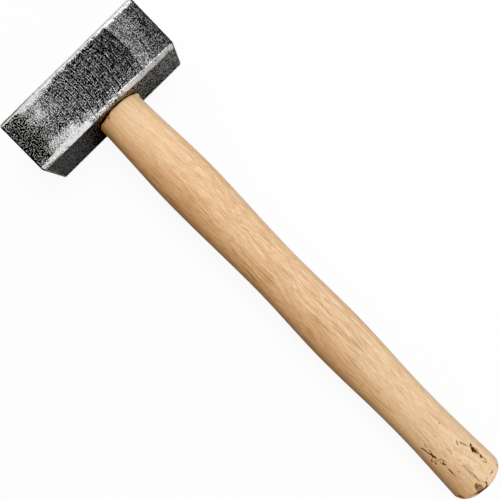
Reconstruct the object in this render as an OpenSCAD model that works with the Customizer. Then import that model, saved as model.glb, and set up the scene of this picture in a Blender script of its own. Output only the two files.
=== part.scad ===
// Stone hammer: a square-section forged head wedged on a shaped hardwood handle.
// +X runs from the head to the butt of the handle, +Y along the head, and +Z is up.
// The hammer lies on the head's lower cheek, whose centre is the origin.

/* [Head] */
// Length of the head, from striking face to striking face
head_length = 106; // [90:1:130]
// Depth of the head along the handle
head_depth = 37; // [33:0.5:48]
// Thickness of the head, from cheek to cheek
head_thickness = 37; // [33:0.5:48]
// Bevel on the four long edges, measured along each face
long_bevel = 2.5; // [0.5:0.1:3]
// Bevel round each striking face, measured along each face
face_bevel = 1.2; // [0.4:0.1:3]

/* [Eye] */
// Long axis of the eye at its waist, along the head
eye_long = 26; // [23:0.5:28]
// Short axis of the eye at its waist, across the cheeks
eye_short = 18; // [15:0.5:20]
// Distance of the eye from the middle of the head, along the head
eye_offset = 2.7; // [-4:0.1:4]
// Widening of the eye at the wedged mouth, on each side
eye_flare_wedged = 1.2; // [0.2:0.1:1.6]
// Widening of the eye at the handle's mouth, on each side
eye_flare_handle = 0.5; // [0.2:0.1:1]
// Distance of the waist from the wedged mouth
eye_waist_depth = 20; // [12:0.5:26]

/* [Tenon] */
// Gap between the tenon and the eye wall
tenon_gap = 0.15; // [0.1:0.05:0.3]
// How far the tenon stands out of the wedged mouth
tenon_proud = 1; // [0:0.1:3]
// Gap between the handle's shoulder and the head
shoulder_gap = 0.1; // [0:0.05:0.5]

/* [Wedges] */
// Gap round each wedge in its slot
wedge_gap = 0.1; // [0.05:0.05:0.2]
// How far the wooden wedge reaches past the tips of the steel ones
wood_wedge_reach = 7.5; // [3:0.5:10]
// Thickness of the wooden wedge at its driven end
wood_wedge_thick = 3.6; // [2.5:0.1:5]
// Thickness of the wooden wedge at its tip
wood_wedge_tip = 0.9; // [0.5:0.1:1.5]
// Length of each steel wedge along the handle
steel_wedge_length = 19; // [12:0.5:24]
// Width of each steel wedge, across the wooden one
steel_wedge_width = 12; // [8:0.5:13]
// Thickness of each steel wedge at its driven end
steel_wedge_thick = 3; // [2:0.1:4]
// Thickness of each steel wedge at its tip
steel_wedge_tip = 0.8; // [0.4:0.1:1.2]
// Distance of each steel wedge from the middle of the eye
steel_wedge_offset = 6.5; // [5:0.5:8]
// How far each steel wedge is driven below the end of the tenon
steel_wedge_sink = 0.4; // [0:0.1:1]
// Depth of the barb notches in the steel wedges
barb_depth = 0.25; // [0.1:0.05:0.3]
// Distance from one barb notch to the next
barb_pitch = 4; // [3:0.5:6]

/* [Grip] */
// Length of the handle from its shoulder to its butt
grip_length = 326; // [290:1:400]
// Thickness of the grip, as a share of its width
grip_oval = 0.79; // [0.7:0.01:1]
// Squareness of the oval section, where 2 is a plain ellipse
grip_square = 2.2; // [2:0.1:3]
// Width of the grip at its shoulder
shoulder_width = 31.2; // [30:0.1:36]
// Width of the swelling below the head
belly_width = 35.7; // [33:0.1:42]
// Distance of that swelling from the shoulder
belly_at = 63; // [45:1:75]
// Width of the slender part between the two swellings
waist_width = 32.7; // [28:0.1:38]
// Distance of that slender part from the shoulder
waist_at = 136; // [110:1:150]
// Width of the swelling under the palm
palm_width = 35.5; // [32:0.1:42]
// Distance of that swelling from the butt
palm_from_butt = 133; // [115:1:135]
// Width of the slender part before the butt
neck_width = 32.2; // [28:0.1:38]
// Distance of that slender part from the butt
neck_from_butt = 64; // [50:1:80]
// Width at the flared butt, where its rounding starts
butt_width = 35.8; // [32:0.1:44]
// Length of the butt's rounding along the handle
butt_round = 6.5; // [4:0.5:16]
// Rounding of the shoulder's edge
shoulder_round = 0.8; // [0.3:0.1:1.5]

/* [Hidden] */

// Faces of a full circle, and sides of the lofted grip
$fn = 96;
grip_sides = 40;
// Rings along the grip, and round its butt and its shoulder's edge
body_rings = 40;
butt_rings = 9;
shoulder_rings = 3;
// Slope of the grip's outline at its shoulder and at its butt, as a share of the mean slope there
shoulder_slope = 0.3;
butt_slope = 1.2;
// Angle round the butt's quarter circle at which its last ring lies
butt_last_angle = 86;
// How far a cutter runs past the face that it opens, and a joined solid into its neighbour
overrun = 5;

head_top_x = -head_depth / 2;
head_base_x = head_depth / 2;
axis_z = head_thickness / 2;
tenon_end_x = head_top_x - tenon_proud;
shoulder_x = head_base_x + shoulder_gap;
butt_x = shoulder_x + grip_length;
eye_waist_x = head_top_x + eye_waist_depth;

// Radius of the eye's round ends at its waist, and distance of their centres from the eye's middle
eye_r = eye_short / 2;
eye_half_span = (eye_long - eye_short) / 2;
// Growth of that radius with each millimetre from the waist towards either mouth
wedged_slope = eye_flare_wedged / eye_waist_depth;
handle_slope = eye_flare_handle / (head_depth - eye_waist_depth);

steel_driven_x = tenon_end_x + steel_wedge_sink;
steel_tip_x = steel_driven_x + steel_wedge_length;
wood_tip_x = steel_tip_x + wood_wedge_reach;
barb_count = floor((steel_wedge_length - barb_pitch) / barb_pitch);

// Colours
steel = [0.24, 0.24, 0.25];
wedge_steel = [0.45, 0.45, 0.47];
handle_wood = [0.86, 0.68, 0.47];
wedge_wood = [0.72, 0.52, 0.33];

// A cubic from a to b as t goes from 0 to 1. Its end slopes are shares of the mean slope.
function eased(a, b, t, slope_a = 0, slope_b = 0) =
    a + (b - a) * (t * t * (3 - 2 * t)
        + slope_a * t * (1 - t) * (1 - t)
        - slope_b * t * t * (1 - t));

// Width of the grip at a distance along it from the shoulder
function grip_width(along) =
    let (palm_at = grip_length - palm_from_butt,
         neck_at = grip_length - neck_from_butt,
         flare_at = grip_length - butt_round)
    along < belly_at ? eased(shoulder_width, belly_width, along / belly_at, shoulder_slope, 0)
    : along < waist_at ? eased(belly_width, waist_width, (along - belly_at) / (waist_at - belly_at))
    : along < palm_at ? eased(waist_width, palm_width, (along - waist_at) / (palm_at - waist_at))
    : along < neck_at ? eased(palm_width, neck_width, (along - palm_at) / (neck_at - palm_at))
    : along < flare_at
        ? eased(neck_width, butt_width, (along - neck_at) / (flare_at - neck_at), 0, butt_slope)
    : butt_width;

// One point of the grip's oval ring, squarer than an ellipse
function oval_point(half_width, half_thick, angle) =
    let (c = cos(angle), s = sin(angle), power = 2 / grip_square)
    [half_width * sign(c) * pow(abs(c), power), half_thick * sign(s) * pow(abs(s), power)];

// A ring of the grip in the plane at x, drawn in by a share of its size or by a plain inset
function grip_ring(along, x, share = 1, inset = 0) =
    let (half_width = grip_width(along) / 2)
    [for (i = [0:grip_sides - 1])
        let (p = oval_point(half_width * share - inset,
                            half_width * grip_oval * share - inset,
                            360 * i / grip_sides))
        [x, p[0], p[1]]];

// The grip's rings from the shoulder's rounded edge to the small ring at the butt
function grip_rings() = concat(
    [for (i = [0:shoulder_rings - 1])
        let (a = 90 * i / shoulder_rings)
        grip_ring(0, shoulder_x + shoulder_round * (1 - cos(a)), inset = shoulder_round * (1 - sin(a)))],
    [for (i = [0:body_rings])
        let (along = shoulder_round + (grip_length - butt_round - shoulder_round) * i / body_rings)
        grip_ring(along, shoulder_x + along)],
    [for (i = [1:butt_rings])
        let (a = butt_last_angle * i / butt_rings)
        grip_ring(grip_length, butt_x - butt_round * (1 - sin(a) / sin(butt_last_angle)), share = cos(a))]);

// A solid through a list of rings that have the same number of points
module loft(rings) {
    sides = len(rings[0]);
    last = len(rings) - 1;
    walls = [for (r = [0:last - 1], i = [0:sides - 1])
        let (a = r * sides + i, b = r * sides + (i + 1) % sides)
        each [[a, b + sides, b], [a, a + sides, b + sides]]];
    near_cap = [for (i = [0:sides - 1]) i];
    far_cap = [for (i = [0:sides - 1]) last * sides + sides - 1 - i];
    polyhedron(points = [for (ring = rings) each ring], faces = concat(walls, [near_cap, far_cap]));
}

// A rectangle about the origin with its corners cut off
module bevelled_rect(width, height, bevel) {
    w = width / 2;
    h = height / 2;
    polygon([[w - bevel, -h], [w, -h + bevel], [w, h - bevel], [w - bevel, h],
             [-w + bevel, h], [-w, h - bevel], [-w, -h + bevel], [-w + bevel, -h]]);
}

// A bar along X whose section is two half circles and the flats between them, widening from r0 to r1
module tapered_bar(x0, x1, r0, r1, half_span) {
    for (side = [-1, 1])
        translate([x0, side * half_span, 0])
            rotate([0, 90, 0])
                cylinder(h = x1 - x0, r1 = r0, r2 = r1);
    rotate([90, 0, 0])
        linear_extrude(height = 2 * half_span, center = true)
            polygon([[x0, -r0], [x1, -r1], [x1, r1], [x0, r0]]);
}

// The eye as a solid, drawn in by a gap, from one x to another past its mouths
module eye_form(gap, x_from, x_to) {
    translate([0, eye_offset, axis_z]) {
        tapered_bar(x_from, eye_waist_x, eye_r - gap + wedged_slope * (eye_waist_x - x_from),
                    eye_r - gap, eye_half_span);
        tapered_bar(eye_waist_x, x_to, eye_r - gap,
                    eye_r - gap + handle_slope * (x_to - eye_waist_x), eye_half_span);
    }
}

// Long edges, plan and side view of the head, whose common part has all twelve bevels
module head_block() {
    intersection() {
        translate([0, 0, axis_z])
            rotate([90, 0, 0])
                linear_extrude(height = head_length, center = true)
                    bevelled_rect(head_depth, head_thickness, long_bevel);
        linear_extrude(height = head_thickness)
            bevelled_rect(head_depth, head_length, face_bevel);
        translate([0, 0, axis_z])
            rotate([0, 90, 0])
                linear_extrude(height = head_depth, center = true)
                    bevelled_rect(head_thickness, head_length, face_bevel);
    }
}

// The wooden wedge's taper across the whole eye, grown by a gap
module wood_wedge_form(gap, x_from) {
    half_end = wood_wedge_thick / 2 + gap;
    half_tip = wood_wedge_tip / 2 + gap;
    translate([0, eye_offset, axis_z])
        rotate([90, 0, 0])
            linear_extrude(height = eye_long + 2 * eye_flare_wedged + 2 * overrun, center = true)
                polygon([[x_from, -half_end], [tenon_end_x, -half_end], [wood_tip_x + gap, -half_tip],
                         [wood_tip_x + gap, half_tip], [tenon_end_x, half_end], [x_from, half_end]]);
}

// Half thickness of a steel wedge at a distance from its driven end
function steel_half(along) =
    (steel_wedge_thick + (steel_wedge_tip - steel_wedge_thick) * along / steel_wedge_length) / 2;

// The slot that a steel wedge leaves in the wood, on the left or the right of the eye's middle
module steel_wedge_slot(side) {
    half_end = steel_half(0) + wedge_gap;
    half_tip = steel_half(steel_wedge_length) + wedge_gap;
    tip_x = steel_tip_x + wedge_gap;
    open_x = tenon_end_x - overrun;
    translate([0, eye_offset + side * steel_wedge_offset, axis_z])
        linear_extrude(height = steel_wedge_width + 2 * wedge_gap, center = true)
            polygon([[open_x, -half_end], [steel_driven_x, -half_end], [tip_x, -half_tip],
                     [tip_x, half_tip], [steel_driven_x, half_end], [open_x, half_end]]);
}

// The saw-tooth notches on one face of a steel wedge, from its driven end to its tip
function barbs(face) =
    [for (i = [1:barb_count])
        let (along = i * barb_pitch, run_out = along + barb_pitch / 2)
        each [[steel_driven_x + along, face * steel_half(along)],
              [steel_driven_x + along, face * (steel_half(along) - barb_depth)],
              [steel_driven_x + run_out, face * steel_half(run_out)]]];

// A list in the opposite order
function reversed(list) = [for (i = [len(list) - 1:-1:0]) list[i]];

// A steel wedge whose notches hold it in the wood
module steel_wedge(side) {
    half_end = steel_half(0);
    half_tip = steel_half(steel_wedge_length);
    color(wedge_steel)
        translate([0, eye_offset + side * steel_wedge_offset, axis_z])
            linear_extrude(height = steel_wedge_width, center = true)
                polygon(concat([[steel_driven_x, -half_end]], barbs(-1),
                               [[steel_tip_x, -half_tip], [steel_tip_x, half_tip]],
                               reversed(barbs(1)), [[steel_driven_x, half_end]]));
}

module hammer_head() {
    color(steel)
        difference() {
            head_block();
            eye_form(0, head_top_x - overrun, head_base_x + overrun);
        }
}

module handle() {
    color(handle_wood)
        difference() {
            union() {
                translate([0, eye_offset, axis_z])
                    loft(grip_rings());
                eye_form(tenon_gap, tenon_end_x, shoulder_x + overrun);
            }
            wood_wedge_form(wedge_gap, tenon_end_x - overrun);
            for (side = [-1, 1])
                steel_wedge_slot(side);
        }
}

module wooden_wedge() {
    color(wedge_wood)
        difference() {
            intersection() {
                wood_wedge_form(0, tenon_end_x);
                eye_form(tenon_gap, tenon_end_x, head_base_x);
            }
            for (side = [-1, 1])
                steel_wedge_slot(side);
        }
}

hammer_head();
handle();
wooden_wedge();
steel_wedge(-1);  // steel_wedge_left
steel_wedge(1);  // steel_wedge_right
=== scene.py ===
"""A stone hammer: a forged head of square section, wedged on a shaped hardwood handle.

The frame is the part's own: +X runs along the handle from the head to the butt, +Y along the head, and +Z
is up. The origin is the centre of the cheek that the hammer lies on. Sizes and points are held in
millimetres, and become metres where a mesh is made.
"""
import logging
import math
from dataclasses import dataclass, field
from enum import Enum
from typing import Callable, Sequence

import bmesh
import bpy
import numpy as np
from mathutils import Matrix, Vector, noise


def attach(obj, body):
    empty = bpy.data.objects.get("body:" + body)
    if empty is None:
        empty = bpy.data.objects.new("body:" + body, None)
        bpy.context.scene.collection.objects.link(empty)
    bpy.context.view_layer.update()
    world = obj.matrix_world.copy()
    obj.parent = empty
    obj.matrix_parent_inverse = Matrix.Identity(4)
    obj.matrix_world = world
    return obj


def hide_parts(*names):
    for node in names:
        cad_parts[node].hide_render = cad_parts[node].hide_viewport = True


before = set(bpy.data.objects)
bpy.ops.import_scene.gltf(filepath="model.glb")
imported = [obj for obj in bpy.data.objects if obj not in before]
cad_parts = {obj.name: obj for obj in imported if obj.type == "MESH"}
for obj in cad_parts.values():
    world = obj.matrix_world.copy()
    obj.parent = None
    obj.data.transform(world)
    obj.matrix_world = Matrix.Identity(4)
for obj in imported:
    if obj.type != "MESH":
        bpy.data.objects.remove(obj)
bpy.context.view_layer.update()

LOG = logging.getLogger("stone_hammer")

# Metres in a millimetre, and the object's one rigid body
MM = 0.001
BODY = "root"

# The height of the handle's axis and of the head's middle, and a half size that reaches through the hammer
AXIS_HEIGHT = 18.5
THROUGH = 30.0

# How near two places along the handle are to count as one
NEAR = 0.01

# The noise in the meshes: its layers, how much weaker and finer each is, and how far a seed moves it
NOISE_LAYERS = 2
LAYER_FADE = 0.9
LAYER_FINENESS = 2.1
SEED_SHIFT = (7.31, -3.77, 5.13)

# The middle of the range of a shader's noise, and the zero vector
NOISE_MEAN = 0.5
ORIGIN = (0.0, 0.0, 0.0)

Points = np.ndarray
Piece = bpy.types.Object
Material = bpy.types.Material
NodeTree = bpy.types.NodeTree
Socket = bpy.types.NodeSocket
Feed = Socket | float | Sequence[float]
Pair = tuple[float, float]
Triple = tuple[float, float, float]
Colour = tuple[float, float, float, float]


# Small numerical tools


def smooth_step(low: float, high: float, value: Points) -> Points:
    """Rises smoothly from 0 at low to 1 at high."""
    share = np.clip((value - low) / (high - low), 0.0, 1.0)
    return share * share * (3.0 - 2.0 * share)


def eased(start: float, end: float, share: Points, slope_start: float = 0.0,
          slope_end: float = 0.0) -> Points:
    """Follows a cubic from start to end.

    Args:
        start: The value at share 0.
        end: The value at share 1.
        share: How far along the cubic each value is taken.
        slope_start: The slope at the start, as a share of the mean slope.
        slope_end: The slope at the end, as a share of the mean slope.

    Returns:
        The cubic's values.
    """
    level = share * share * (3 - 2 * share)
    bend = slope_start * share * (1 - share) ** 2 - slope_end * share**2 * (1 - share)
    return start + (end - start) * (level + bend)


def noise_at(points: Points, size: float, seed: float) -> Points:
    """Samples a smooth noise at every point.

    Args:
        points: The points, one row each.
        size: The width of the noise's largest lumps, in the points' own unit.
        seed: Moves the sample so that two layers differ.

    Returns:
        Values of about -1 to 1, one for each point.
    """
    shift = Vector([seed * step for step in SEED_SHIFT])
    return np.array([noise.fractal(Vector(place) + shift, LAYER_FADE, LAYER_FINENESS, NOISE_LAYERS)
                     for place in (points / size).tolist()])


def distance_to_path(points: Points, path: Sequence[Pair]) -> Points:
    """Measures how far each point lies from a path of straight runs.

    Args:
        points: The points, two columns.
        path: The path's corners, in order.

    Returns:
        The distance of each point from the path.
    """
    best = np.full(len(points), np.inf)
    for start, end in zip(path[:-1], path[1:]):
        corner, run = np.array(start), np.array(end) - np.array(start)
        share = np.clip(((points - corner) @ run) / (run @ run), 0.0, 1.0)
        best = np.minimum(best, np.linalg.norm(points - (corner + share[:, None] * run), axis=1))
    return best


def stations(low: float, high: float, step: float, fine_step: float, fine_reach: float) -> Points:
    """Divides a length into steps that are finer near both ends.

    Args:
        low: The first station.
        high: The last station.
        step: The step in the middle.
        fine_step: The step near the ends.
        fine_reach: How far the fine steps reach from each end.

    Returns:
        The stations, in order.
    """
    fine = max(2, round(fine_reach / fine_step))
    middle = max(2, round((high - low - 2 * fine_reach) / step))
    return np.concatenate([
        np.linspace(low, low + fine_reach, fine, endpoint=False),
        np.linspace(low + fine_reach, high - fine_reach, middle, endpoint=False),
        np.linspace(high - fine_reach, high, fine + 1),
    ])


# Meshes


@dataclass
class Surface:
    """A mesh in the making: points in millimetres, and the faces that join them."""

    points: Points
    faces: list[tuple[int, ...]]

    def to_object(self, name: str) -> Piece:
        """Makes a Blender object of the surface.

        Args:
            name: The object's name.

        Returns:
            The object, linked into the scene, with its faces turned outwards.
        """
        mesh = bpy.data.meshes.new(name)
        mesh.from_pydata((self.points * MM).tolist(), [], self.faces)
        mesh.validate()
        made = bpy.data.objects.new(name, mesh)
        bpy.context.scene.collection.objects.link(made)
        work = bmesh.new()
        work.from_mesh(mesh)
        bmesh.ops.recalc_face_normals(work, faces=work.faces)
        work.to_mesh(mesh)
        work.free()
        return made


def loft(rings: Points) -> Surface:
    """Joins rings of points into a closed tube with a face at each end.

    Args:
        rings: One ring to a row, each with the same number of points.

    Returns:
        The closed surface.
    """
    count, sides, _ = rings.shape
    index = np.arange(count * sides).reshape(count, sides)
    after = np.roll(index, -1, axis=1)
    walls = np.stack([index[:-1], after[:-1], after[1:], index[1:]], axis=-1).reshape(-1, 4)
    faces = [tuple(face) for face in walls.tolist()]
    faces.append(tuple(index[0][::-1].tolist()))
    faces.append(tuple(index[-1].tolist()))
    return Surface(rings.reshape(-1, 3), faces)


def points_of(piece: Piece) -> Points:
    """Reads a piece's points.

    Args:
        piece: The object to read.

    Returns:
        The points in millimetres, one row each.
    """
    flat = np.empty(len(piece.data.vertices) * 3)
    piece.data.vertices.foreach_get("co", flat)
    return flat.reshape(-1, 3) / MM


def normals_of(piece: Piece) -> Points:
    """Reads the outward direction at each of a piece's points.

    Args:
        piece: The object to read.

    Returns:
        The unit directions, one row each.
    """
    flat = np.empty(len(piece.data.vertices) * 3)
    piece.data.vertex_normals.foreach_get("vector", flat)
    return flat.reshape(-1, 3)


def set_points(piece: Piece, points: Points) -> None:
    """Moves a piece's points."""
    piece.data.vertices.foreach_set("co", (points * MM).ravel())
    piece.data.update()


def soften(piece: Piece, share: Points, passes: int) -> None:
    """Draws each point towards the middle of its neighbours, which wears sharp edges round.

    Args:
        piece: The object to change.
        share: How far each point may go, from 0 to 1.
        passes: How many times the points move.
    """
    count = len(piece.data.vertices)
    ends = np.empty(len(piece.data.edges) * 2, dtype=int)
    piece.data.edges.foreach_get("vertices", ends)
    a, b = ends.reshape(-1, 2).T
    degree = np.bincount(a, minlength=count) + np.bincount(b, minlength=count)
    points = points_of(piece)
    for _ in range(passes):
        total = np.zeros_like(points)
        np.add.at(total, a, points[b])
        np.add.at(total, b, points[a])
        points += (total / np.maximum(degree, 1)[:, None] - points) * share[:, None]
    set_points(piece, points)


class Cut(Enum):
    """How one solid is cut by another."""

    TAKE_AWAY = "DIFFERENCE"
    KEEP_SHARED = "INTERSECT"


def cut(piece: Piece, cutter: Piece, how: Cut) -> None:
    """Cuts one closed piece with another, and removes the cutter.

    Args:
        piece: The object to cut.
        cutter: The object that cuts it.
        how: Whether the cutter's solid is taken away or kept.
    """
    step = piece.modifiers.new("cut", "BOOLEAN")
    step.operation = how.value
    step.solver = "MANIFOLD"
    step.object = cutter
    view = bpy.context.evaluated_depsgraph_get()
    done = bpy.data.meshes.new_from_object(piece.evaluated_get(view), depsgraph=view)
    done.name = piece.data.name
    piece.modifiers.clear()
    old, piece.data = piece.data, done
    bpy.data.meshes.remove(old)
    bpy.data.objects.remove(cutter, do_unlink=True)


def set_attribute(piece: Piece, name: str, values: Points) -> None:
    """Stores one number at each of a piece's points for its material to read."""
    layer = piece.data.attributes.new(name, "FLOAT", "POINT")
    layer.data.foreach_set("value", np.ascontiguousarray(values, dtype=np.float32))


def shade(piece: Piece, crease_degrees: float) -> None:
    """Shades a piece smoothly, with a crisp line wherever its faces turn sharply.

    Args:
        piece: The object to shade.
        crease_degrees: The least turn between two faces that stays crisp.
    """
    piece.data.polygons.foreach_set("use_smooth", np.ones(len(piece.data.polygons), dtype=bool))
    piece.data.set_sharp_from_angle(angle=math.radians(crease_degrees))
    piece.data.update()


def finish_piece(piece: Piece, node: str, material: Material) -> None:
    """Dresses a piece, and puts it in the place of its plain solid.

    Args:
        piece: The finished object.
        node: The solid that it stands for.
        material: The material that it shows.
    """
    piece.data.materials.clear()
    piece.data.materials.append(material)
    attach(piece, BODY)
    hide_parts(node)
    LOG.info("%s: %d points, %d faces, %s", piece.name, len(piece.data.vertices), len(piece.data.polygons),
             material.name)


# Shader trees


@dataclass(frozen=True)
class Ramp:
    """A smooth change along a measure: where it starts and ends, and what it gives before and after."""

    low: float
    high: float
    start: float = 0.0
    end: float = 1.0

    def times(self, factor: float) -> "Ramp":
        """Gives the ramp with what it gives multiplied by a factor."""
        return Ramp(self.low, self.high, self.start * factor, self.end * factor)


@dataclass(frozen=True)
class Figure:
    """A drawn-out noise: its lumps to a millimetre on each axis, its finer layers and how it is spread."""

    scale: Triple
    layers: float = 2.0
    roughness: float = 0.5
    spread: Ramp | None = None


class ShaderTree:
    """Adds nodes to one shader tree, and feeds their inputs with sockets or plain values."""

    def __init__(self, tree: NodeTree) -> None:
        """Wraps a tree."""
        self.tree = tree

    def node(self, kind: str, feeds: dict[str | int, Feed] | None = None,
             **settings: object) -> bpy.types.Node:
        """Adds a node.

        Args:
            kind: The node's type name.
            feeds: What goes into each input, by the input's name or number.
            **settings: The node's own settings.

        Returns:
            The new node.
        """
        made = self.tree.nodes.new(kind)
        for name, value in settings.items():
            setattr(made, name, value)
        for key, value in (feeds or {}).items():
            if isinstance(value, Socket):
                self.tree.links.new(value, made.inputs[key])
            else:
                made.inputs[key].default_value = value
        return made

    def math(self, operation: str, first: Feed, second: Feed = 0.0,
             third: Feed = 0.0) -> Socket:
        """Adds a sum on numbers."""
        return self.node("ShaderNodeMath", {0: first, 1: second, 2: third}, operation=operation).outputs[0]

    def vector(self, operation: str, first: Feed, second: Feed = (0.0, 0.0, 0.0)) -> Socket:
        """Adds a sum on vectors."""
        return self.node("ShaderNodeVectorMath", {0: first, 1: second}, operation=operation).outputs[0]

    def step(self, value: Feed, low: Feed, high: Feed, start: Feed = 0.0,
             end: Feed = 1.0) -> Socket:
        """Adds a smooth rise between two levels."""
        feeds = {"Value": value, "From Min": low, "From Max": high, "To Min": start, "To Max": end}
        return self.node("ShaderNodeMapRange", feeds, interpolation_type="SMOOTHSTEP").outputs[0]

    def ramp(self, value: Feed, ramp: Ramp) -> Socket:
        """Passes a number through a ramp."""
        return self.step(value, ramp.low, ramp.high, ramp.start, ramp.end)

    def times(self, first: Feed, second: Feed) -> Socket:
        """Multiplies two numbers."""
        return self.math("MULTIPLY", first, second)

    def times_plus(self, first: Feed, second: Feed, added: Feed) -> Socket:
        """Multiplies two numbers and adds a third."""
        return self.math("MULTIPLY_ADD", first, second, added)

    def centred(self, value: Feed) -> Socket:
        """Moves a noise of 0 to 1 so that its middle is 0."""
        return self.math("SUBTRACT", value, NOISE_MEAN)

    def mix(self, share: Feed, first: Feed, second: Feed) -> Socket:
        """Blends two numbers, by how much of the second shows."""
        return self.node("ShaderNodeMix", {0: share, 2: first, 3: second}, data_type="FLOAT").outputs[0]

    def axes(self, vector: Feed) -> Sequence[Socket]:
        """Splits a vector into its X, Y and Z."""
        return self.node("ShaderNodeSeparateXYZ", {0: vector}).outputs

    def join(self, x: Feed, y: Feed, z: Feed) -> Socket:
        """Makes a vector of its X, Y and Z."""
        return self.node("ShaderNodeCombineXYZ", {0: x, 1: y, 2: z}).outputs[0]

    def length(self, vector: Feed) -> Socket:
        """Measures a vector."""
        return self.node("ShaderNodeVectorMath", {0: vector}, operation="LENGTH").outputs[1]

    def attribute(self, name: str) -> Socket:
        """Reads the number that the mesh stores under a name."""
        return self.node("ShaderNodeAttribute", attribute_name=name).outputs["Fac"]

    def send(self, value: Socket, node: bpy.types.Node, name: str) -> None:
        """Sends a value to a node's named input."""
        self.tree.links.new(value, node.inputs[name])

    def send_bump(self, height: Feed, surface: bpy.types.Node, strength: float, reach: float) -> None:
        """Raises a surface by a height."""
        feeds = {"Height": height, "Strength": strength, "Distance": reach * MM}
        self.send(self.node("ShaderNodeBump", feeds).outputs[0], surface, "Normal")

    def blend(self, share: Feed, first: Feed, second: Feed) -> Socket:
        """Blends two colours."""
        return self.node("ShaderNodeMix", {0: share, 6: first, 7: second}, data_type="RGBA").outputs[2]

    def tint(self, share: Feed, first: Feed, second: Feed) -> Socket:
        """Multiplies one colour by another."""
        feeds = {0: share, 6: first, 7: second}
        return self.node("ShaderNodeMix", feeds, data_type="RGBA", blend_type="MULTIPLY").outputs[2]

    def grain_noise(self, position: Feed, scale: Feed, detail: float,
                    roughness: float) -> Socket:
        """Adds a smooth noise."""
        feeds = {"Vector": position, "Scale": scale, "Detail": detail, "Roughness": roughness}
        return self.node("ShaderNodeTexNoise", feeds).outputs[0]

    def figure(self, position: Feed, figure: Figure) -> Socket:
        """Adds a drawn-out noise.

        Args:
            position: Where it is sampled.
            figure: How it is drawn out and spread.

        Returns:
            The noise, spread as the figure says.
        """
        drawn = self.vector("MULTIPLY", position, figure.scale)
        found = self.grain_noise(drawn, 1.0, figure.layers, figure.roughness)
        return self.ramp(found, figure.spread) if figure.spread else found

    def cells(self, position: Feed, scale: Feed) -> Socket:
        """Adds scattered cells."""
        return self.node("ShaderNodeTexVoronoi", {"Vector": position, "Scale": scale}).outputs["Distance"]

    def place(self, group: NodeTree, **feeds: Feed) -> bpy.types.Node:
        """Places a node group."""
        named = {name.replace("_", " "): feed for name, feed in feeds.items()}
        return self.node("ShaderNodeGroup", named, node_tree=group)


class Kind(Enum):
    """The kinds of socket that a node group has."""

    NUMBER = "NodeSocketFloat"
    VECTOR = "NodeSocketVector"
    COLOUR = "NodeSocketColor"


@dataclass
class GroupTree:
    """A shader node group in the making."""

    name: str
    inputs: dict[str, tuple[Kind, Feed]]
    outputs: dict[str, Kind]
    tree: NodeTree = field(init=False)
    shader: ShaderTree = field(init=False)
    given: bpy.types.NodeOutputs = field(init=False)
    result: bpy.types.NodeInputs = field(init=False)

    def __post_init__(self) -> None:
        """Makes the empty group with its named sockets."""
        self.tree = bpy.data.node_groups.new(self.name, "ShaderNodeTree")
        for name, (kind, value) in self.inputs.items():
            self.tree.interface.new_socket(name, in_out="INPUT", socket_type=kind.value).default_value = value
        for name, kind in self.outputs.items():
            self.tree.interface.new_socket(name, in_out="OUTPUT", socket_type=kind.value)
        self.shader = ShaderTree(self.tree)
        self.given = self.tree.nodes.new("NodeGroupInput").outputs
        self.result = self.tree.nodes.new("NodeGroupOutput").inputs

    def give(self, name: str, value: Socket) -> None:
        """Sends a value to one of the group's outputs."""
        self.tree.links.new(value, self.result[name])


@dataclass(frozen=True)
class SpeckleEffect:
    """A fine woven speckle of light grains on a dark ground, spread from 0 to 1, and scattered pits."""

    soft: Ramp = Ramp(0.38, 0.7)
    soft_roughness: float = 0.6
    soft_share: float = 0.2
    grain_fineness: float = 0.7
    lengthwise: Triple = (0.6, 1.2, 0.9)
    crosswise: Triple = (1.2, 0.6, 1.1)
    grain: Ramp = Ramp(0.1, 0.5, 1.0, 0.0)
    grain_share: float = 0.9
    pit_fineness: float = 0.6
    pits: Ramp = Ramp(0.12, 0.38, 1.0, 0.0)

    def build(self) -> NodeTree:
        """Builds the group.

        Returns:
            The group's tree.
        """
        group = GroupTree("Fine speckle", {"Position": (Kind.VECTOR, ORIGIN), "Size": (Kind.NUMBER, 1.0)},
                          {"Value": Kind.NUMBER, "Pits": Kind.NUMBER})
        s = group.shader
        scale = s.math("DIVIDE", 1.0, group.given["Size"])
        place = group.given["Position"]
        soft = s.ramp(s.grain_noise(place, scale, 1.0, self.soft_roughness), self.soft)
        grain_scale = s.times(scale, self.grain_fineness)
        lengthwise = s.cells(s.vector("MULTIPLY", place, self.lengthwise), grain_scale)
        crosswise = s.cells(s.vector("MULTIPLY", place, self.crosswise), grain_scale)
        grains = s.ramp(s.math("MINIMUM", lengthwise, crosswise), self.grain)
        strong = s.times(grains, self.grain_share)
        group.give("Value", s.times_plus(soft, self.soft_share, strong))
        cells = s.cells(place, s.times(scale, self.pit_fineness))
        group.give("Pits", s.ramp(cells, self.pits))
        return group.tree


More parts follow.
